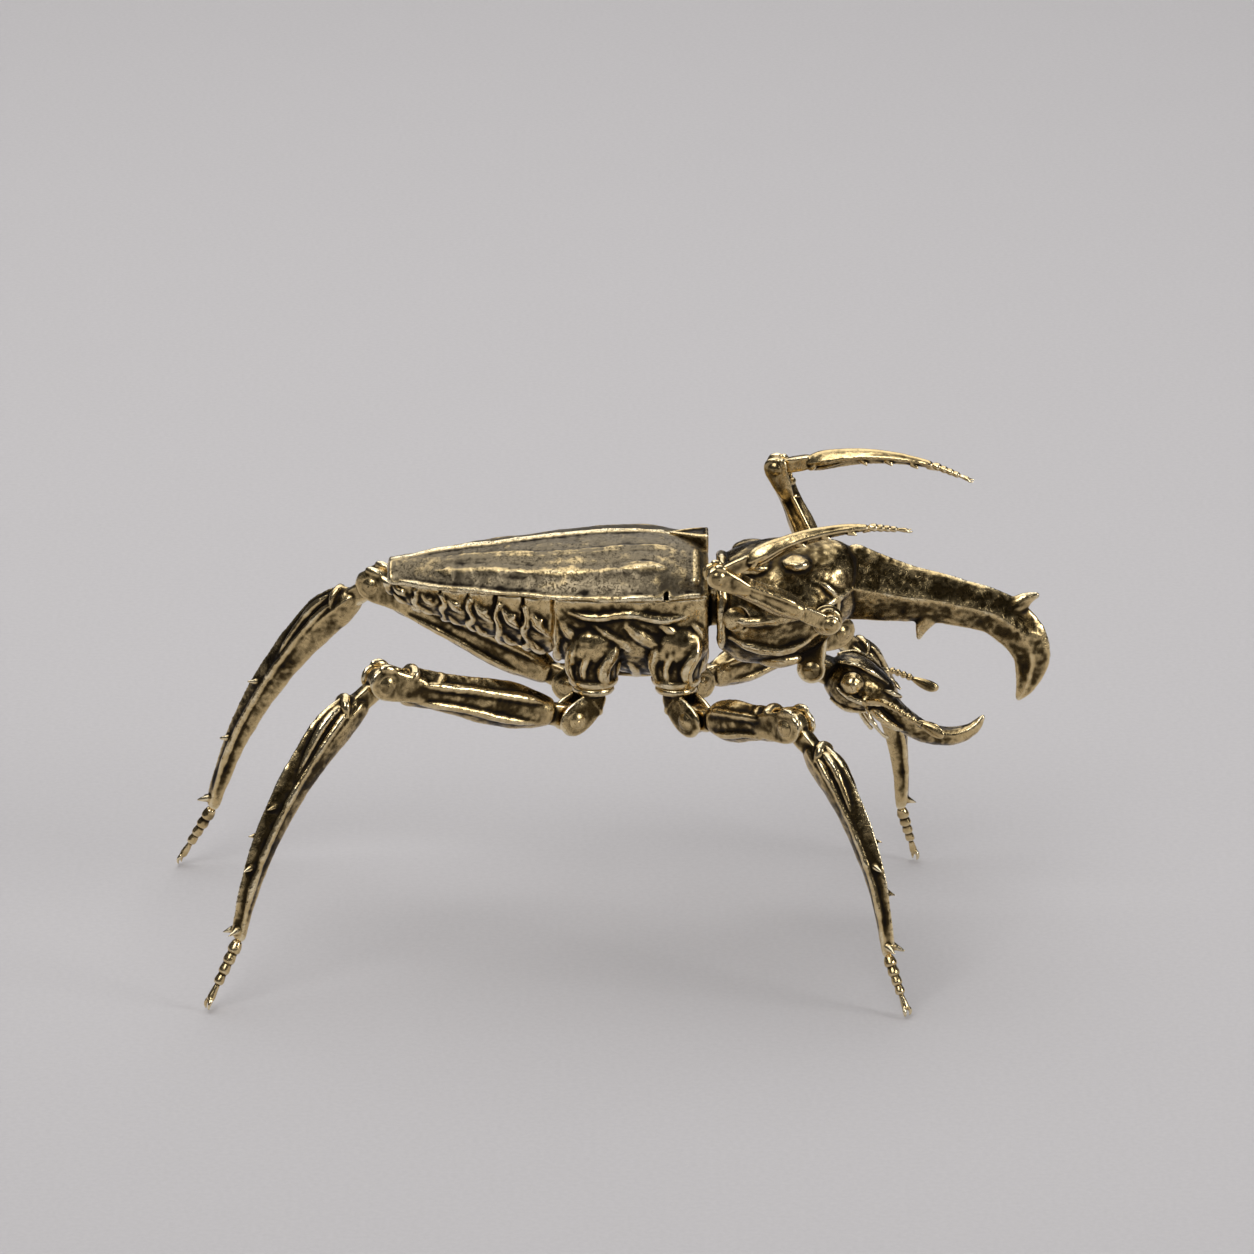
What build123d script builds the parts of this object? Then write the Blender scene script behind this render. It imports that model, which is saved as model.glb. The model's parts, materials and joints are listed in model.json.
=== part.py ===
from build123d import *

import os
from dataclasses import dataclass
from math import asin, atan2, copysign, cos, degrees, hypot, radians, sin

# A horned beetle in old brass that rears up on four long legs, with its front legs raised.
# It is cast in pieces and riveted together, and every leg stays where it is put.
# +X is towards the horns, +Y is the beetle's left, +Z is up, and the feet stand on Z = 0.
# Sizes are in millimetres and angles in degrees.

# Rivets and fits
PIN_FIT = 0.04
SIDE_FIT = 0.1
FACE_FIT = 0.05
RIVET_HEAD_SHARE = 1.7
RIVET_DOME_SHARE = 0.55
CUT_OVERRUN = 3.0
HALF_TURN_ANGLE = 180.0
QUARTER_TURN_ANGLE = 90.0

# Wing cases and belly, from the tail to the front of the thorax
TAIL_X = -27.0
BODY_LENGTH = 39.0
SEAM_HEIGHT = 46.0
BODY_HALF_WIDTH = 10.0
CROWN_HEIGHT = 6.2
KEEL_DEPTH = 12.4
CASE_WALL = 1.1
RIM_PROUD = 0.5
RIM_HEIGHT = 0.8
SUTURE_GAP = 0.12
BELLY_INSET = 0.3
HOLLOW_START_SHARE = 0.12
STATION_SHARES = (0.0, 0.05, 0.18, 0.38, 0.6, 0.82, 1.0)
WIDTH_SHARES = (0.16, 0.3, 0.5, 0.78, 0.96, 1.0, 0.86)
CROWN_SHARES = (0.24, 0.45, 0.6, 0.76, 0.93, 1.0, 0.8)
KEEL_SHARES = (0.12, 0.26, 0.42, 0.66, 0.86, 0.98, 1.0)

# Belly plates, and the spigot that holds the belly in the thorax
BELLY_PLATES = 6
THORAX_LENGTH = 19.0
PLATE_TUCK_SHARE = 0.92
SPIGOT_RADIUS = 1.8
SPIGOT_LENGTH = 2.5
SPIGOT_DEPTH = 4.5

# Scutellum, let into the front of the wing cases' seam
SCUTELLUM_LENGTH = 5.0
SCUTELLUM_HALF_WIDTH = 1.9
SCUTELLUM_BULGE_SHARE = 0.8
SCUTELLUM_DEPTH = 1.6

# Leg sockets under the thorax, and the hip pivots below them
SOCKET_LIFT = 3.8
SOCKET_BOSS_HEIGHT = 6.0
SOCKET_BOSS_RADIUS = 2.9
SOCKET_BOSS_TOP_RADIUS = 3.8
SOCKET_DEPTH = 3.4
PEG_RADIUS = 1.3
PEG_LENGTH = 3.0
COLLAR_RADIUS = 2.6
COLLAR_HEIGHT = 0.9
HIP_Y = 5.8
HIND_HIP_SHARE = 0.2632
MID_HIP_SHARE = 0.7895
HIP_REACH = 3.0
HIP_UNDER_KEEL = 3.0
COXA_ROOT_RADIUS = 1.5

# Neck, where the shield nods: ahead of the thorax and under the seam
NECK_REACH = 3.2
NECK_UNDER_SEAM = 3.2
NECK_LUG_RADIUS = 2.3
NECK_LUG_WIDTH = 5.0
NECK_SLOT_FIT = 0.55
NECK_PIN_RADIUS = 0.9
NECK_PIN_GRIP = 13.0

# Neck shield: where it starts behind the neck pivot, then its sizes at each station
SHIELD_BEHIND_NECK = 2.2
SHIELD_LENGTH = 17.0
SHIELD_HALF_WIDTH = 7.8
SHIELD_HALF_HEIGHT = 8.0
SHIELD_RISE = 3.4
SHIELD_STATION_SHARES = (0.0, 0.14, 0.42, 0.7, 0.88, 1.0)
SHIELD_WIDTH_SHARES = (0.68, 0.89, 1.0, 0.84, 0.6, 0.36)
SHIELD_HEIGHT_SHARES = (0.68, 0.92, 1.0, 0.88, 0.72, 0.58)
SHIELD_RISE_SHARES = (0.0, 0.0, 0.1, 0.4, 0.75, 1.0)

# Upper horn: its middle line runs forward and down from inside the shield, then hooks.
# Its points are ahead of and above the neck pivot.
HORN_ROOT = (11.8, 3.4)
HORN_MIDDLE = (24.3, 0.8)
HORN_BEND = (35.3, -4.2)
HORN_TIP = (34.4, -12.4)
HORN_ROOT_HALF_WIDTH = 3.0
HORN_ROOT_HALF_HEIGHT = 5.0
HORN_STATION_SHARES = (0.0, 0.22, 0.45, 0.66, 0.8, 0.92, 1.0)
HORN_WIDTH_SHARES = (1.0, 0.72, 0.52, 0.44, 0.42, 0.26, 0.1)
HORN_HEIGHT_SHARES = (1.0, 0.72, 0.55, 0.52, 0.5, 0.28, 0.08)
HORN_CREST_SHARE = 0.66
HORN_CREST_LENGTH = 5.2
HORN_CREST_LEAN_ANGLE = 38.0
HORN_CREST_RADIUS = 1.6
HORN_TOOTH_SHARE = 0.36
HORN_TOOTH_LENGTH = 5.6
HORN_TOOTH_LEAN_ANGLE = 258.0
HORN_TOOTH_RADIUS = 1.5
HORN_SPUR_TIP_RADIUS = 0.35

# Head, hung between two ears under the front of the shield, at points from the neck pivot
HEAD_PIVOT_FROM_NECK = (9.3, -7.6)
HEAD_DROOP_ANGLE = -24.0
HEAD_EAR_RADIUS = 1.8
HEAD_EAR_ROOT_FROM_NECK = (8.8, -1.8)
HEAD_EAR_ROOT_RADIUS = 2.4
HEAD_EAR_THICKNESS = 0.9
HEAD_TONGUE_RADIUS = 1.6
HEAD_TONGUE_WIDTH = 3.6
HEAD_PIN_RADIUS = 0.6
HEAD_LENGTH = 11.0
HEAD_HALF_WIDTH = 4.3
HEAD_HALF_HEIGHT = 3.4
HEAD_STATION_SHARES = (0.22, 0.36, 0.56, 0.8, 1.0)
HEAD_WIDTH_SHARES = (0.5, 0.95, 1.0, 0.8, 0.42)
HEAD_HEIGHT_SHARES = (0.6, 0.95, 1.0, 0.78, 0.4)
EYE_BALL_RADIUS = 1.35
EYE_BALL_ALONG = 5.0
EYE_BALL_OUT = 3.7
EYE_BALL_UP = 0.7

# Lower horn: along and above the head's own line, from the pivot
LOW_HORN_ROOT = (8.0, 0.2)
LOW_HORN_MIDDLE = (14.0, -1.9)
LOW_HORN_BEND = (19.0, -1.6)
LOW_HORN_TIP = (22.0, 2.6)
LOW_HORN_ROOT_RADIUS = 2.2
LOW_HORN_STATION_SHARES = (0.0, 0.3, 0.6, 0.85, 1.0)
LOW_HORN_SIZE_SHARES = (1.0, 0.72, 0.6, 0.42, 0.14)

# Feelers: a stem that bends outwards and a club of three leaves
FEELER_ROOT = (7.4, 3.8, -0.6)
FEELER_ELBOW = (9.6, 7.0, 0.9)
FEELER_TIP = (14.0, 9.0, 0.8)
FEELER_RADIUS = 0.42
FEELER_BALL_RADIUS = 0.75
CLUB_LENGTH = 3.2
CLUB_RADIUS = 0.75
CLUB_SHARES = (0.0, 0.5, 1.0)
CLUB_SIZE_SHARES = (0.6, 1.0, 0.4)


@dataclass
class Gauge:
    """The cross sizes of one pair of legs."""

    pin_radius: float
    eye_radius: float
    eye_thickness: float
    fork_radius: float
    ear_thickness: float
    fork_root: float
    neck_length: float
    fold_angle: float
    thigh_half_height: float
    thigh_half_width: float
    shin_half_height: float
    shin_half_width: float
    shin_bow: float
    toe_length: float
    toe_radius: float

    @property
    def gap(self):
        return self.eye_thickness + 2 * SIDE_FIT

    @property
    def fork_width(self):
        return self.gap + 2 * self.ear_thickness

    @property
    def slot_radius(self):
        return self.eye_radius + SLOT_FIT


SLOT_FIT = 0.45
THIGH_SHARES = (0.0, 0.3, 0.65, 1.0)
THIGH_HEIGHT_SHARES = (0.66, 1.0, 0.8, 0.74)
THIGH_WIDTH_SHARES = (0.85, 1.0, 0.85, 0.9)
FORK_TAPER_SHARE = 0.8
NECK_TAPER_SHARE = 0.72
BOW_START_SHARE = 0.35
SHIN_SHARES = (0.0, 0.14, 0.4, 0.7, 1.0)
SHIN_HEIGHT_SHARES = (0.8, 1.0, 0.8, 0.56, 0.36)
SHIN_WIDTH_SHARES = (0.85, 1.0, 0.8, 0.62, 0.46)
TOE_BEADS = 4
TOE_TIP_RADIUS = 0.45
TOE_CLAW_SHARE = 0.4
TOE_BEAD_WAIST_SHARE = 0.66
TOE_BEAD_SWELL_SHARE = 0.75
TOE_TAPER_SHARE = 0.08

HIND_GAUGE = Gauge(
    pin_radius=0.6,
    eye_radius=1.8,
    eye_thickness=1.7,
    fork_radius=2.1,
    ear_thickness=0.9,
    fork_root=5.0,
    neck_length=2.8,
    fold_angle=21.0,
    thigh_half_height=2.7,
    thigh_half_width=2.1,
    shin_half_height=2.5,
    shin_half_width=1.8,
    shin_bow=3.6,
    toe_length=9.5,
    toe_radius=0.95,
)
MID_GAUGE = Gauge(
    pin_radius=0.6,
    eye_radius=1.8,
    eye_thickness=1.7,
    fork_radius=2.1,
    ear_thickness=0.9,
    fork_root=4.0,
    neck_length=2.8,
    fold_angle=21.0,
    thigh_half_height=2.5,
    thigh_half_width=2.0,
    shin_half_height=2.4,
    shin_half_width=1.7,
    shin_bow=3.4,
    toe_length=8.0,
    toe_radius=0.9,
)
FORE_GAUGE = Gauge(
    pin_radius=0.5,
    eye_radius=1.25,
    eye_thickness=1.3,
    fork_radius=1.45,
    ear_thickness=0.75,
    fork_root=2.6,
    neck_length=3.8,
    fold_angle=4.0,
    thigh_half_height=1.55,
    thigh_half_width=1.4,
    shin_half_height=1.25,
    shin_half_width=1.1,
    shin_bow=-1.3,
    toe_length=5.5,
    toe_radius=0.6,
)

# Stance of the four standing legs: heading of the leg's upright plane, then the knee's reach
# from the socket's axis and its height above the hip, and the foot's reach on the floor
HIND_RIGHT_HEADING = 205.0
HIND_RIGHT_KNEE = (27.9, 7.8)
HIND_RIGHT_FOOT = 51.4
HIND_LEFT_HEADING = 157.2
HIND_LEFT_KNEE = (29.2, 9.7)
HIND_LEFT_FOOT = 57.1
MID_RIGHT_HEADING = -41.0
MID_RIGHT_KNEE = (18.6, 2.4)
MID_RIGHT_FOOT = 36.9
MID_LEFT_HEADING = 37.8
MID_LEFT_KNEE = (25.0, 2.4)
MID_LEFT_FOOT = 38.7

# Stance of the raised front legs: lengths, and angles in the leg's plane, which points back
SHOULDER_FROM_NECK = (11.3, 0.2)
SHOULDER_Y = 9.2
FORE_SPLAY_ANGLE = 10.0
FORE_THIGH_LENGTH = 15.5
FORE_SHIN_LENGTH = 19.5
FORE_RIGHT_THIGH_ANGLE = 26.0
FORE_RIGHT_SHIN_ANGLE = 165.0
FORE_LEFT_THIGH_ANGLE = 66.0
FORE_LEFT_SHIN_ANGLE = 177.0
FORE_TOE_DROP_ANGLE = 22.0
HUB_RADIUS = 1.7
HUB_ROOT_RADIUS = 2.3
HUB_SEAT_DEPTH = 2.4
HUB_LENGTH = 3.8
SHOULDER_PIN_GRIP = 4.0

# Places that follow from the sizes above
FRONT_X = TAIL_X + BODY_LENGTH
WAIST_X = FRONT_X - THORAX_LENGTH
HIND_HIP_X = WAIST_X + THORAX_LENGTH * HIND_HIP_SHARE
MID_HIP_X = WAIST_X + THORAX_LENGTH * MID_HIP_SHARE
HIP_HEIGHT = SEAM_HEIGHT - KEEL_DEPTH - HIP_UNDER_KEEL
SOCKET_FACE = HIP_HEIGHT + SOCKET_LIFT
NECK = (FRONT_X + NECK_REACH, SEAM_HEIGHT - NECK_UNDER_SEAM)
SHIELD_START = NECK[0] - SHIELD_BEHIND_NECK
SHIELD_MIDDLE = NECK[1]


def from_neck(point):
    """The (x, z) place of a point that is given ahead of and above the neck pivot."""
    return (NECK[0] + point[0], NECK[1] + point[1])


HEAD_PIVOT = from_neck(HEAD_PIVOT_FROM_NECK)
HEAD_EAR_ROOT = from_neck(HEAD_EAR_ROOT_FROM_NECK)
SHOULDER_X, SHOULDER_HEIGHT = from_neck(SHOULDER_FROM_NECK)


@dataclass
class Leg:
    """One leg. Its points are (reach, height) in an upright plane through its socket."""

    name: str
    gauge: Gauge
    side: int
    root: tuple
    heading: float
    hip: tuple
    knee: tuple
    ankle: tuple
    toe: tuple

    @property
    def plane(self):
        turn = radians(self.heading)
        across = (sin(turn), -cos(turn), 0)
        return Plane(origin=(*self.root, 0), x_dir=(cos(turn), sin(turn), 0), z_dir=across)

    def at(self, point):
        return self.plane.from_local_coords(Vector(*point))

    def limb(self, start, end):
        """A plane with its origin at start, x towards end, and z along the hinges."""
        origin = self.at(start)
        return Plane(origin=origin, x_dir=self.at(end) - origin, z_dir=self.plane.z_dir)


def along(start, end, distance):
    """The point at that distance from start, on the line to end."""
    share = distance / hypot(end[0] - start[0], end[1] - start[1])
    return (start[0] + (end[0] - start[0]) * share, start[1] + (end[1] - start[1]) * share)


def standing_leg(name, gauge, side, hip_x, heading, knee_from_hip, foot_reach):
    knee = (knee_from_hip[0], HIP_HEIGHT + knee_from_hip[1])
    foot = (foot_reach, 0)
    return Leg(
        name=name,
        gauge=gauge,
        side=side,
        root=(hip_x, side * HIP_Y),
        heading=heading,
        hip=(HIP_REACH, HIP_HEIGHT),
        knee=knee,
        ankle=along(foot, knee, gauge.toe_length),
        toe=foot,
    )


def raised_leg(name, side, thigh_angle, shin_angle):
    def step(start, length, angle):
        turn = radians(angle)
        return (start[0] + length * cos(turn), start[1] + length * sin(turn))

    shoulder = (0, SHOULDER_HEIGHT)
    elbow = step(shoulder, FORE_THIGH_LENGTH, thigh_angle)
    wrist = step(elbow, FORE_SHIN_LENGTH, shin_angle)
    return Leg(
        name=name,
        gauge=FORE_GAUGE,
        side=side,
        root=(SHOULDER_X, side * SHOULDER_Y),
        heading=HALF_TURN_ANGLE - side * FORE_SPLAY_ANGLE,
        hip=shoulder,
        knee=elbow,
        ankle=wrist,
        toe=step(wrist, FORE_GAUGE.toe_length, shin_angle + FORE_TOE_DROP_ANGLE),
    )


STANDING_LEGS = (
    standing_leg(
        "hind_right", HIND_GAUGE, -1, HIND_HIP_X, HIND_RIGHT_HEADING, HIND_RIGHT_KNEE, HIND_RIGHT_FOOT
    ),
    standing_leg(
        "hind_left", HIND_GAUGE, 1, HIND_HIP_X, HIND_LEFT_HEADING, HIND_LEFT_KNEE, HIND_LEFT_FOOT
    ),
    standing_leg(
        "mid_right", MID_GAUGE, -1, MID_HIP_X, MID_RIGHT_HEADING, MID_RIGHT_KNEE, MID_RIGHT_FOOT
    ),
    standing_leg(
        "mid_left", MID_GAUGE, 1, MID_HIP_X, MID_LEFT_HEADING, MID_LEFT_KNEE, MID_LEFT_FOOT
    ),
)
RAISED_LEGS = (
    raised_leg("fore_right", -1, FORE_RIGHT_THIGH_ANGLE, FORE_RIGHT_SHIN_ANGLE),
    raised_leg("fore_left", 1, FORE_LEFT_THIGH_ANGLE, FORE_LEFT_SHIN_ANGLE),
)


def share_at(shares, station):
    """The share at a station, read in straight lines between the body's stations."""
    for n in range(len(STATION_SHARES) - 1):
        low = STATION_SHARES[n]
        high = STATION_SHARES[n + 1]
        if station <= high:
            return shares[n] + (shares[n + 1] - shares[n]) * (station - low) / (high - low)
    return shares[-1]


def station_plane(station):
    """A plane across the body at the seam's height, looking forward."""
    x = TAIL_X + BODY_LENGTH * station
    return Plane(origin=(x, 0, SEAM_HEIGHT), x_dir=(0, 1, 0), z_dir=(1, 0, 0))


def belly_section(station, scale_share=1.0):
    """Half an ellipse below the seam, sketched across the body."""
    half_width = (BODY_HALF_WIDTH * share_at(WIDTH_SHARES, station) - BELLY_INSET) * scale_share
    depth = KEEL_DEPTH * share_at(KEEL_SHARES, station) * scale_share
    with BuildSketch(station_plane(station)) as section:
        with BuildLine():
            arc = EllipticalCenterArc(
                (0, 0), half_width, depth, start_angle=HALF_TURN_ANGLE, arc_size=HALF_TURN_ANGLE
            )
            Line(arc @ 0, arc @ 1)
        make_face()
    return section.sketch


def side_plane(y=0):
    """An upright plane along the body, with x forward and y up."""
    return Plane(origin=(0, y, 0), x_dir=(1, 0, 0), z_dir=(0, -1, 0))


def shoulder_seat(leg):
    """The leg's plane at its shoulder, and the sign of its z that points into the body."""
    seat = leg.limb(leg.hip, leg.knee)
    return seat, -leg.side if seat.z_dir.Y > 0 else leg.side


def rivet(plane, radius, grip, heads=(-1, 1)):
    """A rivet with domed heads, centred on the plane and square to it."""
    head = radius * RIVET_HEAD_SHARE
    dome = radius * RIVET_DOME_SHARE
    half = grip / 2 + FACE_FIT
    ball = (head ** 2 + dome ** 2) / (2 * dome)
    with BuildPart() as pin:
        with BuildSketch(plane):
            Circle(radius)
        extrude(amount=half, both=True)
        for way in heads:
            profile = Plane(
                origin=plane.origin + plane.z_dir * half * way, x_dir=plane.x_dir, z_dir=plane.y_dir
            )
            with BuildSketch(profile):
                with BuildLine():
                    side = -way * dome
                    edge = RadiusArc((head, 0), (0, side), way * ball)
                    Polyline(edge @ 1, (0, 0), edge @ 0)
                make_face()
            revolve(axis=Axis(plane.origin, plane.z_dir))
    return pin


# Wing cases: hollow shells with a raised rim along the seam
with BuildPart() as wing_case_left:
    for station, width_share, crown_share in zip(STATION_SHARES, WIDTH_SHARES, CROWN_SHARES):
        half_width = BODY_HALF_WIDTH * width_share
        crown = CROWN_HEIGHT * crown_share
        with BuildSketch(station_plane(station)):
            with BuildLine():
                lip = degrees(asin(RIM_HEIGHT / crown))
                arc = EllipticalCenterArc(
                    (SUTURE_GAP / 2, 0),
                    half_width,
                    crown,
                    start_angle=lip,
                    arc_size=QUARTER_TURN_ANGLE - lip,
                )
                Polyline(
                    arc @ 1,
                    (SUTURE_GAP / 2, 0),
                    (half_width + RIM_PROUD, 0),
                    (half_width + RIM_PROUD, RIM_HEIGHT),
                    arc @ 0,
                )
            make_face()
    loft()
    hollow_stations = [HOLLOW_START_SHARE] + [s for s in STATION_SHARES if s > HOLLOW_START_SHARE]
    for station in hollow_stations:
        reach = CUT_OVERRUN if station == STATION_SHARES[-1] else 0
        half_width = BODY_HALF_WIDTH * share_at(WIDTH_SHARES, station) - CASE_WALL
        crown = CROWN_HEIGHT * share_at(CROWN_SHARES, station) - CASE_WALL
        with BuildSketch(station_plane(station).offset(reach)):
            Ellipse(half_width, crown)
    loft(mode=Mode.SUBTRACT)

with BuildPart() as scutellum:
    crown_top = SEAM_HEIGHT + CROWN_HEIGHT * CROWN_SHARES[-1]
    with BuildSketch(Plane.XY.offset(crown_top - SCUTELLUM_DEPTH)):
        with BuildLine():
            edge = ThreePointArc(
                (FRONT_X - SCUTELLUM_LENGTH, 0),
                (FRONT_X - SCUTELLUM_LENGTH / 2, SCUTELLUM_HALF_WIDTH * SCUTELLUM_BULGE_SHARE),
                (FRONT_X, SCUTELLUM_HALF_WIDTH),
            )
            other = ThreePointArc(
                (FRONT_X - SCUTELLUM_LENGTH, 0),
                (FRONT_X - SCUTELLUM_LENGTH / 2, -SCUTELLUM_HALF_WIDTH * SCUTELLUM_BULGE_SHARE),
                (FRONT_X, -SCUTELLUM_HALF_WIDTH),
            )
            Line(edge @ 1, other @ 1)
        make_face()
    extrude(amount=SCUTELLUM_DEPTH + CROWN_HEIGHT * (1 - CROWN_SHARES[-1]))

with BuildPart() as seat_of_scutellum:
    add(scutellum.part)
    offset(amount=FACE_FIT)

with BuildPart() as case_with_seat:
    add(wing_case_left.part)
    add(seat_of_scutellum.part, mode=Mode.SUBTRACT)

with BuildPart() as wing_case_right:
    mirror(case_with_seat.part, about=Plane.XZ)

# Belly: plates that overlap like tiles towards the tail, on a spigot
WAIST_STATION = 1 - THORAX_LENGTH / BODY_LENGTH
SPIGOT_HEIGHT = SEAM_HEIGHT - SPIGOT_DEPTH

with BuildPart() as abdomen:
    for n in range(BELLY_PLATES):
        rear = WAIST_STATION * n / BELLY_PLATES
        front = WAIST_STATION * (n + 1) / BELLY_PLATES
        loft(sections=[belly_section(rear), belly_section(front, PLATE_TUCK_SHARE)])
    with BuildSketch(Plane.YZ.offset(WAIST_X)):
        with Locations((0, SPIGOT_HEIGHT)):
            Circle(SPIGOT_RADIUS)
    extrude(amount=SPIGOT_LENGTH)

# Thorax: the middle casting, with its four leg sockets and the neck lug
with BuildPart() as thorax:
    thorax_stations = (WAIST_STATION, (1 + WAIST_STATION) / 2, 1.0)
    loft(sections=[belly_section(station) for station in thorax_stations])
    with BuildSketch(Plane.YZ.offset(WAIST_X)):
        with Locations((0, SPIGOT_HEIGHT)):
            Circle(SPIGOT_RADIUS + PIN_FIT)
    extrude(amount=SPIGOT_LENGTH + FACE_FIT, mode=Mode.SUBTRACT)
    for leg in STANDING_LEGS:
        with Locations((*leg.root, SOCKET_FACE)):
            Cone(
                SOCKET_BOSS_RADIUS,
                SOCKET_BOSS_TOP_RADIUS,
                SOCKET_BOSS_HEIGHT,
                align=(Align.CENTER, Align.CENTER, Align.MIN),
            )
            Cylinder(
                PEG_RADIUS + PIN_FIT,
                SOCKET_DEPTH,
                align=(Align.CENTER, Align.CENTER, Align.MIN),
                mode=Mode.SUBTRACT,
            )
            Cylinder(
                SOCKET_BOSS_RADIUS,
                CUT_OVERRUN,
                align=(Align.CENTER, Align.CENTER, Align.MAX),
                mode=Mode.SUBTRACT,
            )
    with BuildSketch(side_plane()):
        with Locations(NECK):
            Circle(NECK_LUG_RADIUS)
        with Locations((FRONT_X - NECK_LUG_RADIUS, NECK[1])):
            Circle(NECK_LUG_RADIUS)
        make_hull()
    extrude(amount=NECK_LUG_WIDTH / 2, both=True)
    with BuildSketch(side_plane()):
        with Locations(NECK):
            Circle(NECK_PIN_RADIUS + PIN_FIT)
    extrude(amount=NECK_LUG_WIDTH, both=True, mode=Mode.SUBTRACT)


def horn_sections(line, half_width, half_height, stations, widths, heights):
    """Ellipses along a middle line that lies in the body's upright middle plane."""
    sections = []
    for station, width_share, height_share in zip(stations, widths, heights):
        across = Plane(origin=line @ station, x_dir=(0, 1, 0), z_dir=line % station)
        with BuildSketch(across) as section:
            Ellipse(half_width * width_share, half_height * height_share)
        sections.append(section.sketch)
    return sections


# Neck shield with the upper horn
with BuildPart() as pronotum:
    for station, width_share, height_share, rise_share in zip(
        SHIELD_STATION_SHARES, SHIELD_WIDTH_SHARES, SHIELD_HEIGHT_SHARES, SHIELD_RISE_SHARES
    ):
        x = SHIELD_START + SHIELD_LENGTH * station
        z = SHIELD_MIDDLE + SHIELD_RISE * rise_share
        with BuildSketch(Plane(origin=(x, 0, z), x_dir=(0, 1, 0), z_dir=(1, 0, 0))):
            Ellipse(SHIELD_HALF_WIDTH * width_share, SHIELD_HALF_HEIGHT * height_share)
    loft()
    with BuildLine(side_plane()):
        horn_points = [from_neck(p) for p in (HORN_ROOT, HORN_MIDDLE, HORN_BEND, HORN_TIP)]
        horn_line = Spline(*horn_points)
    horn = horn_sections(
        horn_line,
        HORN_ROOT_HALF_WIDTH,
        HORN_ROOT_HALF_HEIGHT,
        HORN_STATION_SHARES,
        HORN_WIDTH_SHARES,
        HORN_HEIGHT_SHARES,
    )
    loft(sections=horn)
    # A knob on top of the horn's bend, and a tooth below its middle
    for share, length, lean, radius in (
        (HORN_CREST_SHARE, HORN_CREST_LENGTH, HORN_CREST_LEAN_ANGLE, HORN_CREST_RADIUS),
        (HORN_TOOTH_SHARE, HORN_TOOTH_LENGTH, HORN_TOOTH_LEAN_ANGLE, HORN_TOOTH_RADIUS),
    ):
        turn = radians(lean)
        spur = Plane(origin=horn_line @ share, x_dir=(0, 1, 0), z_dir=(cos(turn), 0, sin(turn)))
        with BuildSketch(spur):
            Circle(radius)
        with BuildSketch(spur.offset(length)):
            Circle(HORN_SPUR_TIP_RADIUS)
        loft()
    # Ears that hold the head's tongue
    for side in (-1, 1):
        inner = side * (HEAD_TONGUE_WIDTH / 2 + SIDE_FIT)
        with BuildSketch(side_plane(inner)):
            with Locations(HEAD_PIVOT):
                Circle(HEAD_EAR_RADIUS)
            with Locations(HEAD_EAR_ROOT):
                Circle(HEAD_EAR_ROOT_RADIUS)
            make_hull()
        extrude(amount=-side * HEAD_EAR_THICKNESS)
    with BuildSketch(side_plane()):
        with Locations(HEAD_PIVOT):
            Circle(HEAD_TONGUE_RADIUS + SLOT_FIT)
    extrude(amount=HEAD_TONGUE_WIDTH / 2 + SIDE_FIT, both=True, mode=Mode.SUBTRACT)
    with BuildSketch(side_plane()):
        with Locations(HEAD_PIVOT):
            Circle(HEAD_PIN_RADIUS + PIN_FIT)
    extrude(amount=HEAD_TONGUE_WIDTH + HEAD_EAR_THICKNESS, both=True, mode=Mode.SUBTRACT)
    # Slot for the neck lug
    with BuildSketch(side_plane()):
        with Locations(NECK):
            Circle(NECK_LUG_RADIUS + NECK_SLOT_FIT)
        with Locations((SHIELD_START - CUT_OVERRUN, NECK[1])):
            Circle(NECK_LUG_RADIUS + NECK_SLOT_FIT)
        make_hull()
    extrude(amount=NECK_LUG_WIDTH / 2 + SIDE_FIT, both=True, mode=Mode.SUBTRACT)
    with BuildSketch(side_plane()):
        with Locations(NECK):
            Circle(NECK_PIN_RADIUS + PIN_FIT)
    extrude(amount=SHIELD_HALF_WIDTH, both=True, mode=Mode.SUBTRACT)
    for side in (-1, 1):
        with BuildSketch(side_plane(side * NECK_PIN_GRIP / 2)):
            with Locations(NECK):
                Circle(NECK_PIN_RADIUS * RIVET_HEAD_SHARE + SIDE_FIT)
        extrude(amount=-side * CUT_OVERRUN, mode=Mode.SUBTRACT)
    # Seats for the front legs' hubs
    for leg in RAISED_LEGS:
        seat, inward = shoulder_seat(leg)
        start = leg.gauge.eye_thickness / 2 + FACE_FIT + HUB_LENGTH - HUB_SEAT_DEPTH
        with BuildSketch(seat.offset(inward * (start + HUB_SEAT_DEPTH))):
            Circle(HUB_RADIUS + PIN_FIT)
        extrude(amount=-inward * (HUB_SEAT_DEPTH + CUT_OVERRUN), mode=Mode.SUBTRACT)

neck_pin_plane = Plane(origin=(NECK[0], 0, NECK[1]), x_dir=(1, 0, 0), z_dir=(0, -1, 0))

# Head with the lower horn, modelled along its own drooping line from the pivot
head_turn = radians(HEAD_DROOP_ANGLE)
HEAD_LINE = Plane(
    origin=(HEAD_PIVOT[0], 0, HEAD_PIVOT[1]),
    x_dir=(cos(head_turn), 0, sin(head_turn)),
    z_dir=(0, -1, 0),
)

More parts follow.
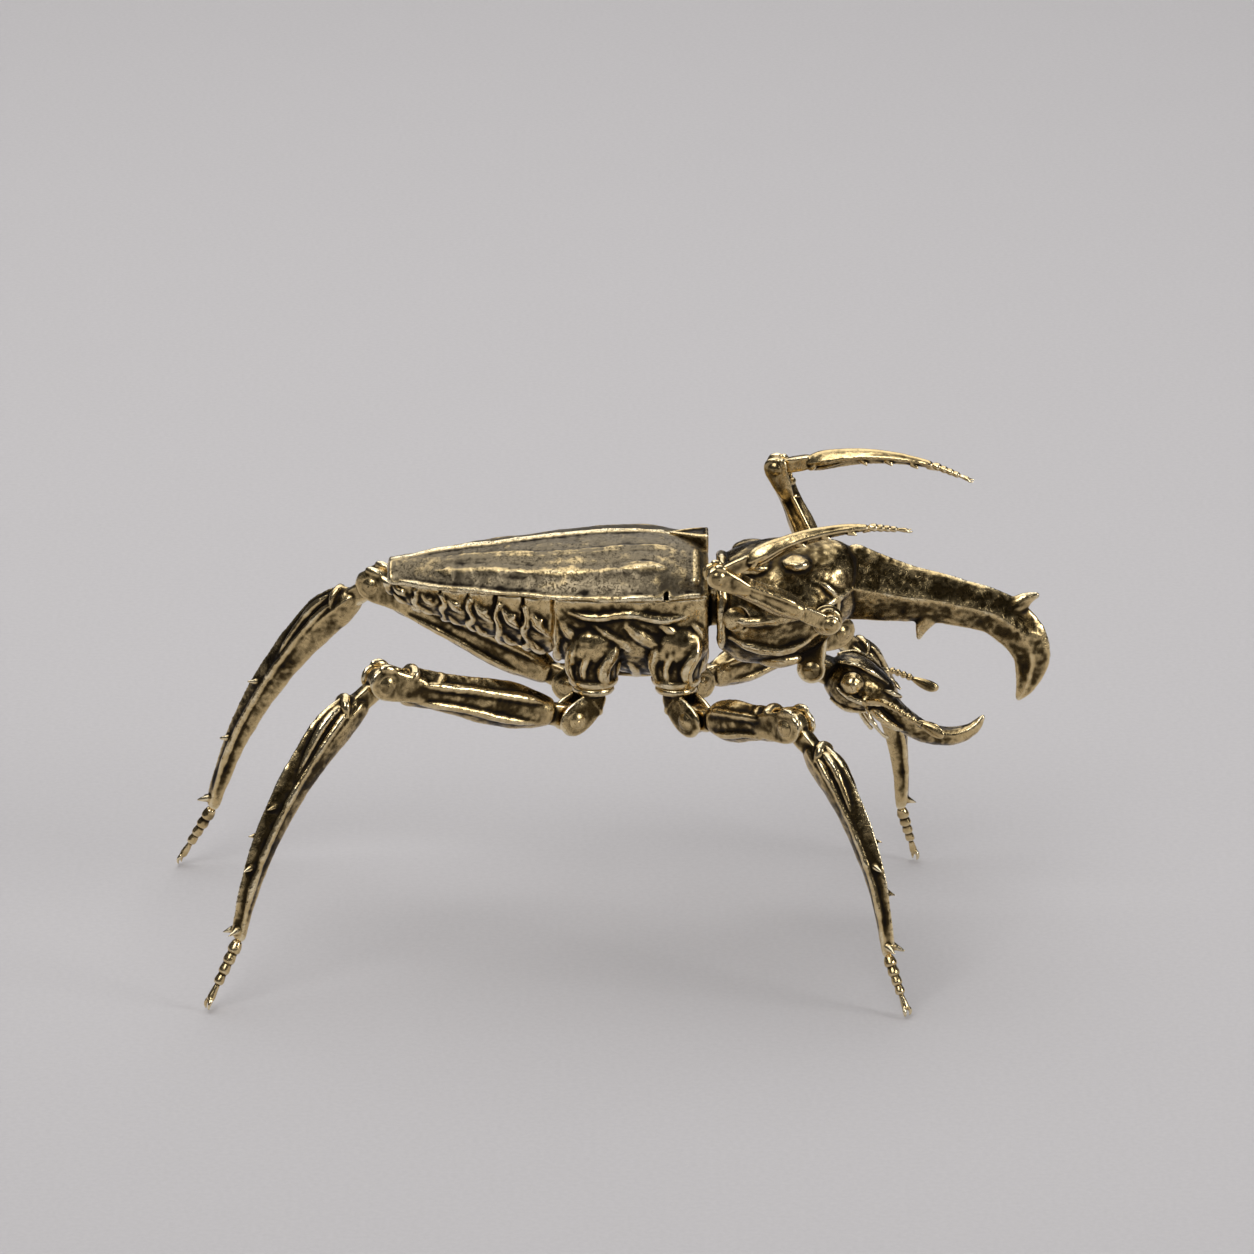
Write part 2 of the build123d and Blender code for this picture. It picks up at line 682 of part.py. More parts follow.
with BuildPart() as head:
    with BuildSketch(HEAD_LINE):
        Circle(HEAD_TONGUE_RADIUS)
        with Locations((HEAD_LENGTH * HEAD_STATION_SHARES[0], 0)):
            Circle(HEAD_TONGUE_RADIUS)
        make_hull()
    extrude(amount=HEAD_TONGUE_WIDTH / 2, both=True)
    for station, width_share, height_share in zip(
        HEAD_STATION_SHARES, HEAD_WIDTH_SHARES, HEAD_HEIGHT_SHARES
    ):
        origin = HEAD_LINE.from_local_coords(Vector(HEAD_LENGTH * station, 0, 0))
        with BuildSketch(Plane(origin=origin, x_dir=(0, 1, 0), z_dir=HEAD_LINE.x_dir)):
            Ellipse(HEAD_HALF_WIDTH * width_share, HEAD_HALF_HEIGHT * height_share)
    loft()
    with BuildLine(HEAD_LINE):
        low_line = Spline(LOW_HORN_ROOT, LOW_HORN_MIDDLE, LOW_HORN_BEND, LOW_HORN_TIP)
    low_horn = horn_sections(
        low_line,
        LOW_HORN_ROOT_RADIUS,
        LOW_HORN_ROOT_RADIUS,
        LOW_HORN_STATION_SHARES,
        LOW_HORN_SIZE_SHARES,
        LOW_HORN_SIZE_SHARES,
    )
    loft(sections=low_horn)
    for side in (-1, 1):
        eye = HEAD_LINE.from_local_coords(Vector(EYE_BALL_ALONG, EYE_BALL_UP, side * EYE_BALL_OUT))
        with Locations(eye):
            Sphere(EYE_BALL_RADIUS)
        socket_along, socket_out, socket_up = FEELER_ROOT
        socket = HEAD_LINE.from_local_coords(Vector(socket_along, socket_up, side * socket_out))
        with Locations(socket):
            Sphere(FEELER_BALL_RADIUS + PIN_FIT, mode=Mode.SUBTRACT)
    with BuildSketch(HEAD_LINE):
        Circle(HEAD_PIN_RADIUS + PIN_FIT)
    extrude(amount=HEAD_TONGUE_WIDTH, both=True, mode=Mode.SUBTRACT)


def feeler(side):
    """A bent stem with a club, outside the head on one side."""
    def placed(point):
        return HEAD_LINE.from_local_coords(Vector(point[0], point[2], -side * point[1]))

    with BuildPart() as stem:
        with BuildLine() as line:
            run = Spline(placed(FEELER_ROOT), placed(FEELER_ELBOW), placed(FEELER_TIP))
        with BuildSketch(Plane(origin=run @ 0, z_dir=run % 0)):
            Circle(FEELER_RADIUS)
        sweep(path=run)
        with Locations(run @ 0):
            Sphere(FEELER_BALL_RADIUS)
        tip = Plane(origin=run @ 1, z_dir=run % 1)
        for share, size_share in zip(CLUB_SHARES, CLUB_SIZE_SHARES):
            with BuildSketch(tip.offset(CLUB_LENGTH * share)):
                Circle(CLUB_RADIUS * size_share)
        loft()
    return stem


def thigh(leg):
    """The femur: an eye at the hip, a swollen shaft and a fork at the knee."""
    gauge = leg.gauge
    line = leg.limb(leg.hip, leg.knee)
    length = hypot(leg.knee[0] - leg.hip[0], leg.knee[1] - leg.hip[1])
    shaft_start = gauge.neck_length
    shaft_end = length - gauge.slot_radius
    with BuildPart() as femur:
        for share, height_share, width_share in zip(
            THIGH_SHARES, THIGH_HEIGHT_SHARES, THIGH_WIDTH_SHARES
        ):
            distance = shaft_start + (shaft_end - shaft_start) * share
            origin = line.from_local_coords(Vector(distance, 0, 0))
            with BuildSketch(Plane(origin=origin, x_dir=line.z_dir, z_dir=line.x_dir)):
                Ellipse(gauge.thigh_half_width * width_share, gauge.thigh_half_height * height_share)
        loft()
        with BuildSketch(line):
            Circle(gauge.eye_radius)
            with Locations((shaft_start + gauge.eye_radius / 2, 0)):
                Circle(gauge.eye_radius * NECK_TAPER_SHARE)
            make_hull()
        extrude(amount=gauge.eye_thickness / 2, both=True)
        with BuildSketch(line):
            with Locations((length, 0)):
                Circle(gauge.fork_radius)
            with Locations((length - gauge.fork_root, 0)):
                Circle(gauge.fork_radius * FORK_TAPER_SHARE)
            make_hull()
        extrude(amount=gauge.fork_width / 2, both=True)
        folded = line.to_local_coords(leg.at(leg.ankle)) - Vector(length, 0, 0)
        turn = atan2(folded.Y, folded.X)
        turn += copysign(radians(gauge.fold_angle), turn)
        reach = gauge.neck_length + gauge.eye_radius
        with BuildSketch(line):
            with Locations((length, 0)):
                Circle(gauge.slot_radius)
            with Locations((length + reach * cos(turn), reach * sin(turn))):
                Circle(gauge.slot_radius * NECK_TAPER_SHARE)
            make_hull()
        extrude(amount=gauge.gap / 2, both=True, mode=Mode.SUBTRACT)
        with BuildSketch(line):
            with Locations((0, 0), (length, 0)):
                Circle(gauge.pin_radius + PIN_FIT)
        extrude(amount=gauge.fork_width, both=True, mode=Mode.SUBTRACT)
    return femur


def shin(leg):
    """The tibia: an eye at the knee and a bowed blade that thins towards the ankle."""
    gauge = leg.gauge
    chord = leg.limb(leg.knee, leg.ankle)
    length = hypot(leg.ankle[0] - leg.knee[0], leg.ankle[1] - leg.knee[1])
    start = gauge.neck_length
    bow = gauge.shin_bow
    with BuildPart() as tibia:
        with BuildLine(chord):
            run = ThreePointArc((start, bow * BOW_START_SHARE), (length / 2, bow), (length, 0))
        for share, height_share, width_share in zip(
            SHIN_SHARES, SHIN_HEIGHT_SHARES, SHIN_WIDTH_SHARES
        ):
            with BuildSketch(Plane(origin=run @ share, x_dir=chord.z_dir, z_dir=run % share)):
                Ellipse(gauge.shin_half_width * width_share, gauge.shin_half_height * height_share)
        loft()
        with BuildSketch(chord):
            Circle(gauge.eye_radius)
            with Locations((start + gauge.eye_radius / 2, bow * BOW_START_SHARE)):
                Circle(gauge.eye_radius * NECK_TAPER_SHARE)
            make_hull()
        extrude(amount=gauge.eye_thickness / 2, both=True)
        with BuildSketch(chord):
            Circle(gauge.pin_radius + PIN_FIT)
        extrude(amount=gauge.eye_thickness, both=True, mode=Mode.SUBTRACT)
    return tibia, run


def foot(leg, run):
    """The tarsus: beads in a row and a claw, cut flat where it meets the floor."""
    gauge = leg.gauge
    line = leg.limb(leg.ankle, leg.toe)
    length = gauge.toe_length
    bead = length * (1 - TOE_CLAW_SHARE) / TOE_BEADS
    tip = length + gauge.toe_radius if leg in STANDING_LEGS else length
    with BuildPart() as tarsus:
        with BuildSketch(line):
            with BuildLine():
                root = -gauge.toe_radius
                points = [(root, 0), (root, gauge.toe_radius * TOE_BEAD_WAIST_SHARE)]
                for n in range(TOE_BEADS):
                    size = gauge.toe_radius * (1 - TOE_TAPER_SHARE * n)
                    points.append((bead * n, size * TOE_BEAD_WAIST_SHARE))
                    points.append((bead * (n + TOE_BEAD_SWELL_SHARE), size))
                points.append((length * (1 - TOE_CLAW_SHARE), gauge.toe_radius * TOE_BEAD_WAIST_SHARE))
                points.append((tip, TOE_TIP_RADIUS))
                points.append((tip, 0))
                Polyline(*points, close=True)
            make_face()
        revolve(axis=Axis(line.origin, line.x_dir))
        split(bisect_by=Plane(origin=run @ 1, z_dir=run % 1), keep=Keep.TOP)
        if leg in STANDING_LEGS:
            split(bisect_by=Plane.XY, keep=Keep.TOP)
    return tarsus


def leg_coxa(leg):
    """A peg and collar that turn in the thorax's socket, over a fork for the thigh's eye."""
    gauge = leg.gauge
    with BuildPart() as coxa:
        collar_top = SOCKET_FACE - SIDE_FIT
        with Locations((*leg.root, collar_top)):
            Cylinder(PEG_RADIUS, PEG_LENGTH, align=(Align.CENTER, Align.CENTER, Align.MIN))
            Cylinder(COLLAR_RADIUS, COLLAR_HEIGHT, align=(Align.CENTER, Align.CENTER, Align.MAX))
        with BuildSketch(leg.plane):
            with Locations(leg.hip):
                Circle(gauge.fork_radius)
            with Locations((0, collar_top - COXA_ROOT_RADIUS)):
                Circle(COXA_ROOT_RADIUS)
            make_hull()
        extrude(amount=gauge.fork_width / 2, both=True)
        with BuildSketch(leg.plane):
            with Locations(leg.hip):
                Circle(gauge.slot_radius)
        extrude(amount=gauge.gap / 2, both=True, mode=Mode.SUBTRACT)
        with BuildSketch(leg.plane):
            with Locations(leg.hip):
                Circle(gauge.pin_radius + PIN_FIT)
        extrude(amount=gauge.fork_width, both=True, mode=Mode.SUBTRACT)
    return coxa


def shoulder_hub(leg):
    """A round hub let into the neck shield, with a face for the thigh's eye."""
    gauge = leg.gauge
    seat, inward = shoulder_seat(leg)
    start = gauge.eye_thickness / 2 + FACE_FIT
    with BuildPart() as coxa:
        with BuildSketch(seat.offset(inward * start)):
            Circle(HUB_RADIUS)
        extrude(amount=inward * HUB_LENGTH)
        with BuildSketch(seat.offset(inward * start)):
            Circle(gauge.pin_radius + PIN_FIT)
        extrude(amount=inward * (HUB_LENGTH + CUT_OVERRUN), mode=Mode.SUBTRACT)
    return coxa


pieces = {
    "thorax": thorax,
    "abdomen": abdomen,
    "wing_case_left": case_with_seat,
    "wing_case_right": wing_case_right,
    "scutellum": scutellum,
    "pronotum": pronotum,
    "neck_pin": rivet(neck_pin_plane, NECK_PIN_RADIUS, NECK_PIN_GRIP),
    "head": head,
    "head_pin": rivet(
        HEAD_LINE, HEAD_PIN_RADIUS, HEAD_TONGUE_WIDTH + 2 * (SIDE_FIT + HEAD_EAR_THICKNESS)
    ),
    "antenna_left": feeler(1),
    "antenna_right": feeler(-1),
}

for leg in (*STANDING_LEGS, *RAISED_LEGS):
    gauge = leg.gauge
    tibia, run = shin(leg)
    hip_plane = leg.limb(leg.hip, leg.knee)
    knee_plane = leg.limb(leg.knee, leg.ankle)
    pieces[f"{leg.name}_coxa"] = leg_coxa(leg) if leg in STANDING_LEGS else shoulder_hub(leg)
    pieces[f"{leg.name}_femur"] = thigh(leg)
    pieces[f"{leg.name}_tibia"] = tibia
    pieces[f"{leg.name}_tarsus"] = foot(leg, run)
    pieces[f"{leg.name}_knee_pin"] = rivet(knee_plane, gauge.pin_radius, gauge.fork_width)
    if leg in STANDING_LEGS:
        pieces[f"{leg.name}_hip_pin"] = rivet(hip_plane, gauge.pin_radius, gauge.fork_width)
    else:
        seat, inward = shoulder_seat(leg)
        middle = seat.offset(inward * (SHOULDER_PIN_GRIP - gauge.eye_thickness) / 2)
        pin = rivet(middle, gauge.pin_radius, SHOULDER_PIN_GRIP, heads=(-inward,))
        pieces[f"{leg.name}_shoulder_pin"] = pin

# The origin is on the floor, under the middle of everything
whole = Compound([piece.part for piece in pieces.values()]).bounding_box()
TO_MIDDLE = Location((-whole.center().X, -whole.center().Y, 0))

os.makedirs("parts", exist_ok=True)
for label, piece in pieces.items():
    with BuildPart() as placed:
        with Locations(TO_MIDDLE):
            add(piece.part)
    placed.part.label = label
    export_step(placed.part, f"parts/{label}.step")
print("pieces", len(pieces), "size", whole.size)
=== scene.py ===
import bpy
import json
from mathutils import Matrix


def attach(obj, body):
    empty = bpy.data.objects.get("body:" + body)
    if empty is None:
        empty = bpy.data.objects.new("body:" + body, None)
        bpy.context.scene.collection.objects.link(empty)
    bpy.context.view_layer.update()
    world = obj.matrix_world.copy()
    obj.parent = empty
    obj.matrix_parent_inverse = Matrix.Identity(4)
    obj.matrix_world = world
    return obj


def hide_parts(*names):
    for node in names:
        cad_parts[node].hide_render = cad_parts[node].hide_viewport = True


bl_info = {
    "name": "Brass beetle figurine",
    "version": (1, 0, 0),
    "blender": (4, 5, 0),
    "location": "View3D > Sidebar > Beetle",
    "description": "Models a horned beetle in old brass over its packed solids",
    "category": "Add Mesh",
}

import json
from contextlib import contextmanager
from math import cos, pi, radians, sin

import bmesh
import bpy
import numpy as np
from mathutils import Matrix, Vector

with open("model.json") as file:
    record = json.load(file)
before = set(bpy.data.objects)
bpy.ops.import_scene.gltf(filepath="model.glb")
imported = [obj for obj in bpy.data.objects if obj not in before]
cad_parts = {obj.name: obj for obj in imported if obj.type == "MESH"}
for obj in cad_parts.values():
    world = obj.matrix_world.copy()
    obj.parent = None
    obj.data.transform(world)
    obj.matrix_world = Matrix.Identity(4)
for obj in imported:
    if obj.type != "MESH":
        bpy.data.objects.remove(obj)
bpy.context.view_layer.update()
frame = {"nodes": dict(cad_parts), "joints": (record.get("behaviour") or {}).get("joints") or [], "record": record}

# Shapes are modelled in millimetres and shrunk to metres when they are dressed.
MM = 0.001
JOINTS = {joint["name"]: joint for joint in frame["joints"]}
MOUNTS = {mount["name"]: mount for mount in frame["record"]["mounts"]}
SIDES = ((1, "left"), (-1, "right"))
STANDING = ("hind_right", "hind_left", "mid_right", "mid_left")
RAISED = ("fore_right", "fore_left")


def joint_place(name):
    return Vector(JOINTS[name]["pos_m"]) / MM


def limb_matrix(start, end, across):
    """A limb's own axes: X from start to end, Y against its hinge, Z out of its upper edge."""
    along = (end - start).normalized()
    up = across.cross(along).normalized()
    turn = Matrix((along, up.cross(along), up)).transposed().to_4x4()
    return Matrix.Translation(start) @ turn


# The direction of a hinge that lies level across the body.
ACROSS = Vector((0, -1, 0))

# The body is modelled on its own axes, in which the neck pivot stands at NECK.
NECK = Vector((15.2, 0.0, 42.8))
BODY_PLACE = Matrix.Translation(joint_place("neck_nod") - NECK)
HEAD_PIVOT = Vector((24.5, 0.0, 35.2))
HEAD_DROOP = radians(-24)
HEAD_ALONG = Vector((cos(HEAD_DROOP), 0, sin(HEAD_DROOP)))
HEAD_PLACE = limb_matrix(joint_place("head_nod"), joint_place("head_nod") + HEAD_ALONG, ACROSS)
TAIL = -27.0
WAIST = -7.0
FRONT = 12.0
SEAM = 46.0
HALF_GAP = 0.06
CASE_WALL = 1.1
BELLY_INSET = 0.3
BELLY_PLATES = 6
NICK = 6.8
HIPS = [(x, side * 5.8) for x in (-2.0, 8.0) for side in (-1, 1)]
SOCKET_FACE = 34.4

# Reliefs that the brass reads for its wear, grime, painted shade and painted highlights: name, blur passes and the
# height in millimetres that counts as full.
RELIEFS = (("relief", 6, 0.06), ("hollow", 40, 0.26))

# Steps in which worked skin fades out, how far past a joint's eye or fork it does so,
# and how near two places count as one.
FADE_STEPS = 5
STILL_REACH = 1.35
SAME_PLACE = 0.002


def measure(name, description, default, least=0.0):
    return bpy.props.FloatProperty(name=name, description=description, default=default, min=least)


def tone(name, description, default):
    words = dict(name=name, description=description)
    return bpy.props.FloatVectorProperty(subtype="COLOR", size=3, default=default, **words)


class BeetleSizes(bpy.types.PropertyGroup):
    """Sizes of the casting's skin, in millimetres."""

    grain: measure("Grain", "Cell size of the body's cast skin", 0.15, 0.08)
    limb_grain: measure("Limb grain", "Cell size of the limbs' skin", 0.13, 0.06)
    fine_grain: measure("Fine grain", "Cell size on the small pieces", 0.10, 0.06)
    feeler_grain: measure("Feeler grain", "Cell size on the feelers", 0.07, 0.04)
    wax_depth: measure("Wax depth", "Depth of the hand-worked unevenness", 0.36)
    chase_depth: measure("Chasing depth", "Depth of the small tool marks", 0.07)


class BeetleColours(bpy.types.PropertyGroup):
    """Colours of the brass and of the photographic paper."""

    # Grime: dark patina in the recesses, and painted shade that darkens the deep recesses and the hollows between
    # forms.
    grime_and_shade: tone("Grime", "Dark patina in the recesses", (0.010, 0.0062, 0.003))
    patina: tone("Patina", "Aged brass on open surfaces", (0.070, 0.047, 0.018))
    brass: tone("Brass", "Clean brass where hands have rubbed", (0.69, 0.52, 0.262))
    # Bright edge: polished wear along edges and ridges, and a painted highlight there.
    bright: tone("Bright edge", "Polished edges and ridges", (0.97, 0.83, 0.55))
    wing: tone("Wing cases", "Greyer brass of the wing cases", (0.175, 0.141, 0.090))
    paper: tone("Paper", "Backdrop paper", (0.55, 0.53, 0.535))


def deselect():
    if bpy.context.mode != "OBJECT":
        bpy.ops.object.mode_set(mode="OBJECT")
    bpy.ops.object.select_all(action="DESELECT")


@contextmanager
def editing():
    """Edit mode on the active piece."""
    bpy.ops.object.mode_set(mode="EDIT")
    yield
    bpy.ops.object.mode_set(mode="OBJECT")


def activate(*pieces):
    deselect()
    for piece in pieces:
        piece.select_set(True)
    bpy.context.view_layer.objects.active = pieces[0]


def pick(test, kind="FACE"):
    """Selects what passes the test in the edited mesh, and says how much did."""
    mesh = bmesh.from_edit_mesh(bpy.context.object.data)
    bpy.ops.mesh.select_all(action="DESELECT")
    bpy.context.tool_settings.mesh_select_mode = (kind == "VERT", kind == "EDGE", kind == "FACE")
    items = {"VERT": mesh.verts, "EDGE": mesh.edges, "FACE": mesh.faces}[kind]
    found = [item for item in items if test(item)]
    for item in found:
        item.select_set(True)
    mesh.select_flush_mode()
    bmesh.update_edit_mesh(bpy.context.object.data)
    return len(found)


def face_outward():
    """Turns the normals of the edited mesh outward."""
    bpy.ops.mesh.select_all(action="SELECT")
    bpy.ops.mesh.normals_make_consistent(inside=False)


def settle():
    """Takes the active piece's move and turn into its mesh."""
    bpy.ops.object.transform_apply(location=True, rotation=True, scale=True)
    return bpy.context.object


def added(add, **settings):
    """A new piece from one of the add operators, with its place in its mesh."""
    deselect()
    add(**settings)
    return settle()


def finish_modifiers(piece):
    activate(piece)
    for modifier in list(piece.modifiers):
        bpy.ops.object.modifier_apply(modifier=modifier.name)
    return piece


def round_section(sides=12, swell=None):
    """A ring of (y, z) points, swollen or pinched at the angles that swell names."""
    angles = [360 / sides * number for number in range(sides)]
    sizes = [(swell or {}).get(angle, 1.0) for angle in angles]
    return [(size * cos(radians(angle)), size * sin(radians(angle))) for angle, size in zip(angles, sizes)]


def even_section(swell):
    """A ring of 16 points, swollen alike on both of its sides."""
    other_side = {(180 - angle) % 360: size for angle, size in swell.items()}
    return round_section(16, {**swell, **other_side})


ROUND = round_section()
SQUARE = [(1, 0), (1, 0.8), (0.9, 1), (0.4, 1), (-0.4, 1), (-0.9, 1), (-1, 0.8)]
SQUARE += [(-y, -z) for y, z in SQUARE]
SOFT = even_section({22.5: 1.03, 45: 1.08, 67.5: 1.03, 337.5: 1.03, 315: 1.08, 292.5: 1.03})


def sharpen(rings, corners, sharpness):
    """Creases the edges that run from ring to ring at the section's corners."""
    middles = []
    for across, up in corners:
        line = [Vector((ring[0], ring[4] + ring[1] * across, ring[3] + ring[2] * up)) for ring in rings]
        middles += [(start + end) / 2 for start, end in zip(line, line[1:])]

    def on_ridge(edge):
        middle = (edge.verts[0].co + edge.verts[1].co) / 2
        return any((middle - place).length < SAME_PLACE for place in middles)

    found = pick(on_ridge, "EDGE")
    if found < len(middles):
        raise RuntimeError(f"{found} of {len(middles)} ridge edges were found")
    bpy.ops.transform.edge_crease(value=sharpness)


def grow(rings, section=ROUND, crease=(), sharpness=0.7):
    """A closed form along X: a filled circle, drawn to its section, then extruded and
    resized from ring to ring. A ring is (x, half width, half height, lift, shift), and
    crease numbers the section's points that stay sharp along the form."""
    rings = [tuple(ring) + (0.0,) * (5 - len(ring)) for ring in rings]
    x, width, height, lift, shift = rings[0]
    sides = len(section)
    place = dict(location=(0, 0, 0), rotation=(0, pi / 2, 0))
    circle = bpy.ops.mesh.primitive_circle_add
    piece = added(circle, vertices=sides, radius=1, fill_type="NGON", **place)
    with editing():
        for number, (across, up) in enumerate(section):
            turn = radians(360 / sides * number)
            move = (0, across - cos(turn), up - sin(turn))
            if abs(move[1]) + abs(move[2]) > 1e-5:
                pick(lambda vertex: vertex.index == number, "VERT")
                bpy.ops.transform.translate(value=move)
        bpy.ops.mesh.select_all(action="SELECT")
        bpy.ops.transform.resize(value=(1, width, height), center_override=(0, 0, 0))
        bpy.ops.transform.translate(value=(x, shift, lift))
        bpy.context.tool_settings.mesh_select_mode = (False, False, True)
        for ring in rings[1:]:
            move = (ring[0] - x, ring[4] - shift, ring[3] - lift)
            bpy.ops.mesh.extrude_region_move(TRANSFORM_OT_translate={"value": move})
            grown = (1, ring[1] / width, ring[2] / height)
            x, width, height, lift, shift = ring
            bpy.ops.transform.resize(value=grown, center_override=(x, shift, lift))
        if crease:
            sharpen(rings, [section[number] for number in crease], sharpness)
        face_outward()
    modifier = piece.modifiers.new("Round", "SUBSURF")
    modifier.levels = modifier.render_levels = 2
    return finish_modifiers(piece)


def disc(x, z, radius, low, high, edge=0.25):
    """A round plate across Y with a bevelled rim, from low to high."""
    place = dict(location=(x, (low + high) / 2, z), rotation=(pi / 2, 0, 0))
    cylinder = bpy.ops.mesh.primitive_cylinder_add
    piece = added(cylinder, vertices=40, radius=radius, depth=high - low, **place)
    if edge:
        with editing():
            pick(lambda face: abs(face.normal.y) > 0.9)
            bpy.ops.mesh.bevel(offset=edge, segments=3, affect="EDGES")
    return piece


def drum(place, radius, top_radius, depth):
    """An upright drum that stands on the place."""
    centre = Vector(place) + Vector((0, 0, depth / 2))
    cone = bpy.ops.mesh.primitive_cone_add
    return added(cone, vertices=48, radius1=radius, radius2=top_radius, depth=depth, location=centre)


def block(low, high):
    """A box from corner to corner, for cutting with."""
    low, high = Vector(low), Vector(high)
    return added(bpy.ops.mesh.primitive_cube_add, size=1, location=(low + high) / 2, scale=high - low)


def ring_bead(place, radius, thickness, rotation=(0, 0, 0)):
    form = dict(major_radius=radius, minor_radius=thickness, major_segments=40, minor_segments=10)
    return added(bpy.ops.mesh.primitive_torus_add, location=place, rotation=rotation, **form)


def ball(centre, size, sides=24):
    """An egg, with its half sizes along X, Y and Z."""
    sphere = bpy.ops.mesh.primitive_uv_sphere_add
    return added(sphere, segments=sides, ring_count=sides // 2, radius=1, location=centre, scale=size)


def spine(base, tip, radius, tip_radius=0.12):
    base, tip = Vector(base), Vector(tip)
    form = dict(radius1=radius, radius2=tip_radius, depth=(tip - base).length)
    deselect()
    bpy.ops.mesh.primitive_cone_add(vertices=14, location=(base + tip) / 2, **form)
    piece = bpy.context.object
    piece.rotation_mode = "QUATERNION"
    piece.rotation_quaternion = (tip - base).to_track_quat("Z", "Y")
    return settle()


def guide_line(points):
    """A smooth line through the points, drawn as a Bezier curve."""
    deselect()
    bpy.ops.curve.primitive_bezier_curve_add(location=(0, 0, 0))
    guide = bpy.context.object
    spline = guide.data.splines[0]
    spline.bezier_points.add(len(points) - 2)
    for knot, point in zip(spline.bezier_points, points):
        knot.co = point
        knot.handle_left_type = "AUTO"
        knot.handle_right_type = "AUTO"
    bpy.context.view_layer.update()
    return guide


def vein(points, radius, sizes=None):
    """A raised ridge or wire along the points, thinned by the sizes at each of them."""
    guide = guide_line(points)
    guide.data.resolution_u = 6
    guide.data.bevel_depth = radius
    guide.data.bevel_resolution = 2
    guide.data.use_fill_caps = True
    sizes = sizes or [0.45] + [1.0] * (len(points) - 2) + [0.45]
    for knot, size in zip(guide.data.splines[0].bezier_points, sizes):
        knot.radius = size
    bpy.ops.object.convert(target="MESH")
    with editing():
        bpy.ops.mesh.select_all(action="SELECT")
        bpy.ops.mesh.remove_doubles(threshold=0.001)
        face_outward()
    return bpy.context.object


def bent(points, rings, section=ROUND, crease=()):
    """A form that follows a smooth line through the points. Its rings are set out by
    their share of the line's length."""
    guide = guide_line(points)
    guide.data.resolution_u = 32
    length = guide.data.splines[0].calc_length()
    piece = grow([(ring[0] * length, *ring[1:]) for ring in rings], section, crease=crease)
    modifier = piece.modifiers.new("Bend", "CURVE")
    modifier.object = guide
    modifier.deform_axis = "POS_X"
    finish_modifiers(piece)
    bpy.data.objects.remove(guide)
    return piece


def carved(piece, *tools):
    """Cuts the tools out of a piece."""
    for tool in tools:
        modifier = piece.modifiers.new("Carve", "BOOLEAN")
        modifier.operation = "DIFFERENCE"
        modifier.solver = "EXACT"
        modifier.object = tool
    finish_modifiers(piece)
    for tool in tools:
        bpy.data.objects.remove(tool)
    return piece


def flipped(piece):
    """Takes a form over to the beetle's other side."""
    activate(piece)
    piece.scale = (1, -1, 1)
    settle()
    with editing():
        face_outward()
    return piece


def on_side(side, forms):
    """The forms as they are for the left side, and flipped for the right one."""
    return forms if side > 0 else [flipped(form) for form in forms]


def both_sides(forms):
    """The forms and their copies on the other side, each with its own mesh."""
    copies = []
    for form in forms:
        activate(form)
        bpy.ops.object.duplicate(linked=False)
        copies.append(flipped(bpy.context.object))
    return forms + copies


def placed(matrix, forms):
    """Puts forms that were modelled on their own axes in their place."""
    for form in forms:
        activate(form)
        form.matrix_world = matrix
        settle()
    return forms


def cast(name, forms, grain, passes=5):
    """Melts closed forms into one skin, as wax is melted together before casting."""
    activate(*forms)
    if len(forms) > 1:
        bpy.ops.object.join()
    piece = bpy.context.object
    piece.name = name
    piece.data.name = name
    modifier = piece.modifiers.new("Melt", "REMESH")
    modifier.mode = "VOXEL"
    modifier.voxel_size = grain
    modifier.use_smooth_shade = True
    modifier = piece.modifiers.new("Soften", "SMOOTH")
    modifier.factor = 0.5
    modifier.iterations = passes
    return finish_modifiers(piece)


def vectors_of(piece, kind):
    values = np.empty(len(piece.data.vertices) * 3)
    piece.data.vertices.foreach_get(kind, values)
    return values.reshape(-1, 3)


def worked(piece, marks, still=()):
    """Works the skin with marks of (size, depth) in millimetres, fading out within reach of
    the places that stay still: (place, radius). With an axis as third entry, the place
    reaches half as far along it."""
    group = piece.vertex_groups.new(name="Worked")
    places = vectors_of(piece, "co")
    weights = np.ones(len(places))
    for centre, radius, *axis in still:
        away = places - np.array(centre)
        for way in axis:
            away = away + np.outer(away @ np.array(way), way)
        away = np.linalg.norm(away, axis=1) / radius
        weights = np.minimum(weights, np.clip((away - 1) * 2, 0, 1))
    steps = np.round(weights * FADE_STEPS).astype(int)
    for step in range(1, FADE_STEPS + 1):
        chosen = np.nonzero(steps == step)[0].tolist()
        if chosen:
            group.add(chosen, step / FADE_STEPS, "REPLACE")
    for number, (size, depth) in enumerate(marks):
        texture = bpy.data.textures.new(f"{piece.name}_{number}", "CLOUDS")
        texture.noise_scale = size
        texture.noise_basis = "IMPROVED_PERLIN"
        texture.noise_depth = 2
        modifier = piece.modifiers.new("Work", "DISPLACE")
        modifier.texture = texture
        modifier.texture_coords = "LOCAL"
        modifier.strength = depth
        modifier.mid_level = 0.5
        modifier.vertex_group = "Worked"
    return finish_modifiers(piece)


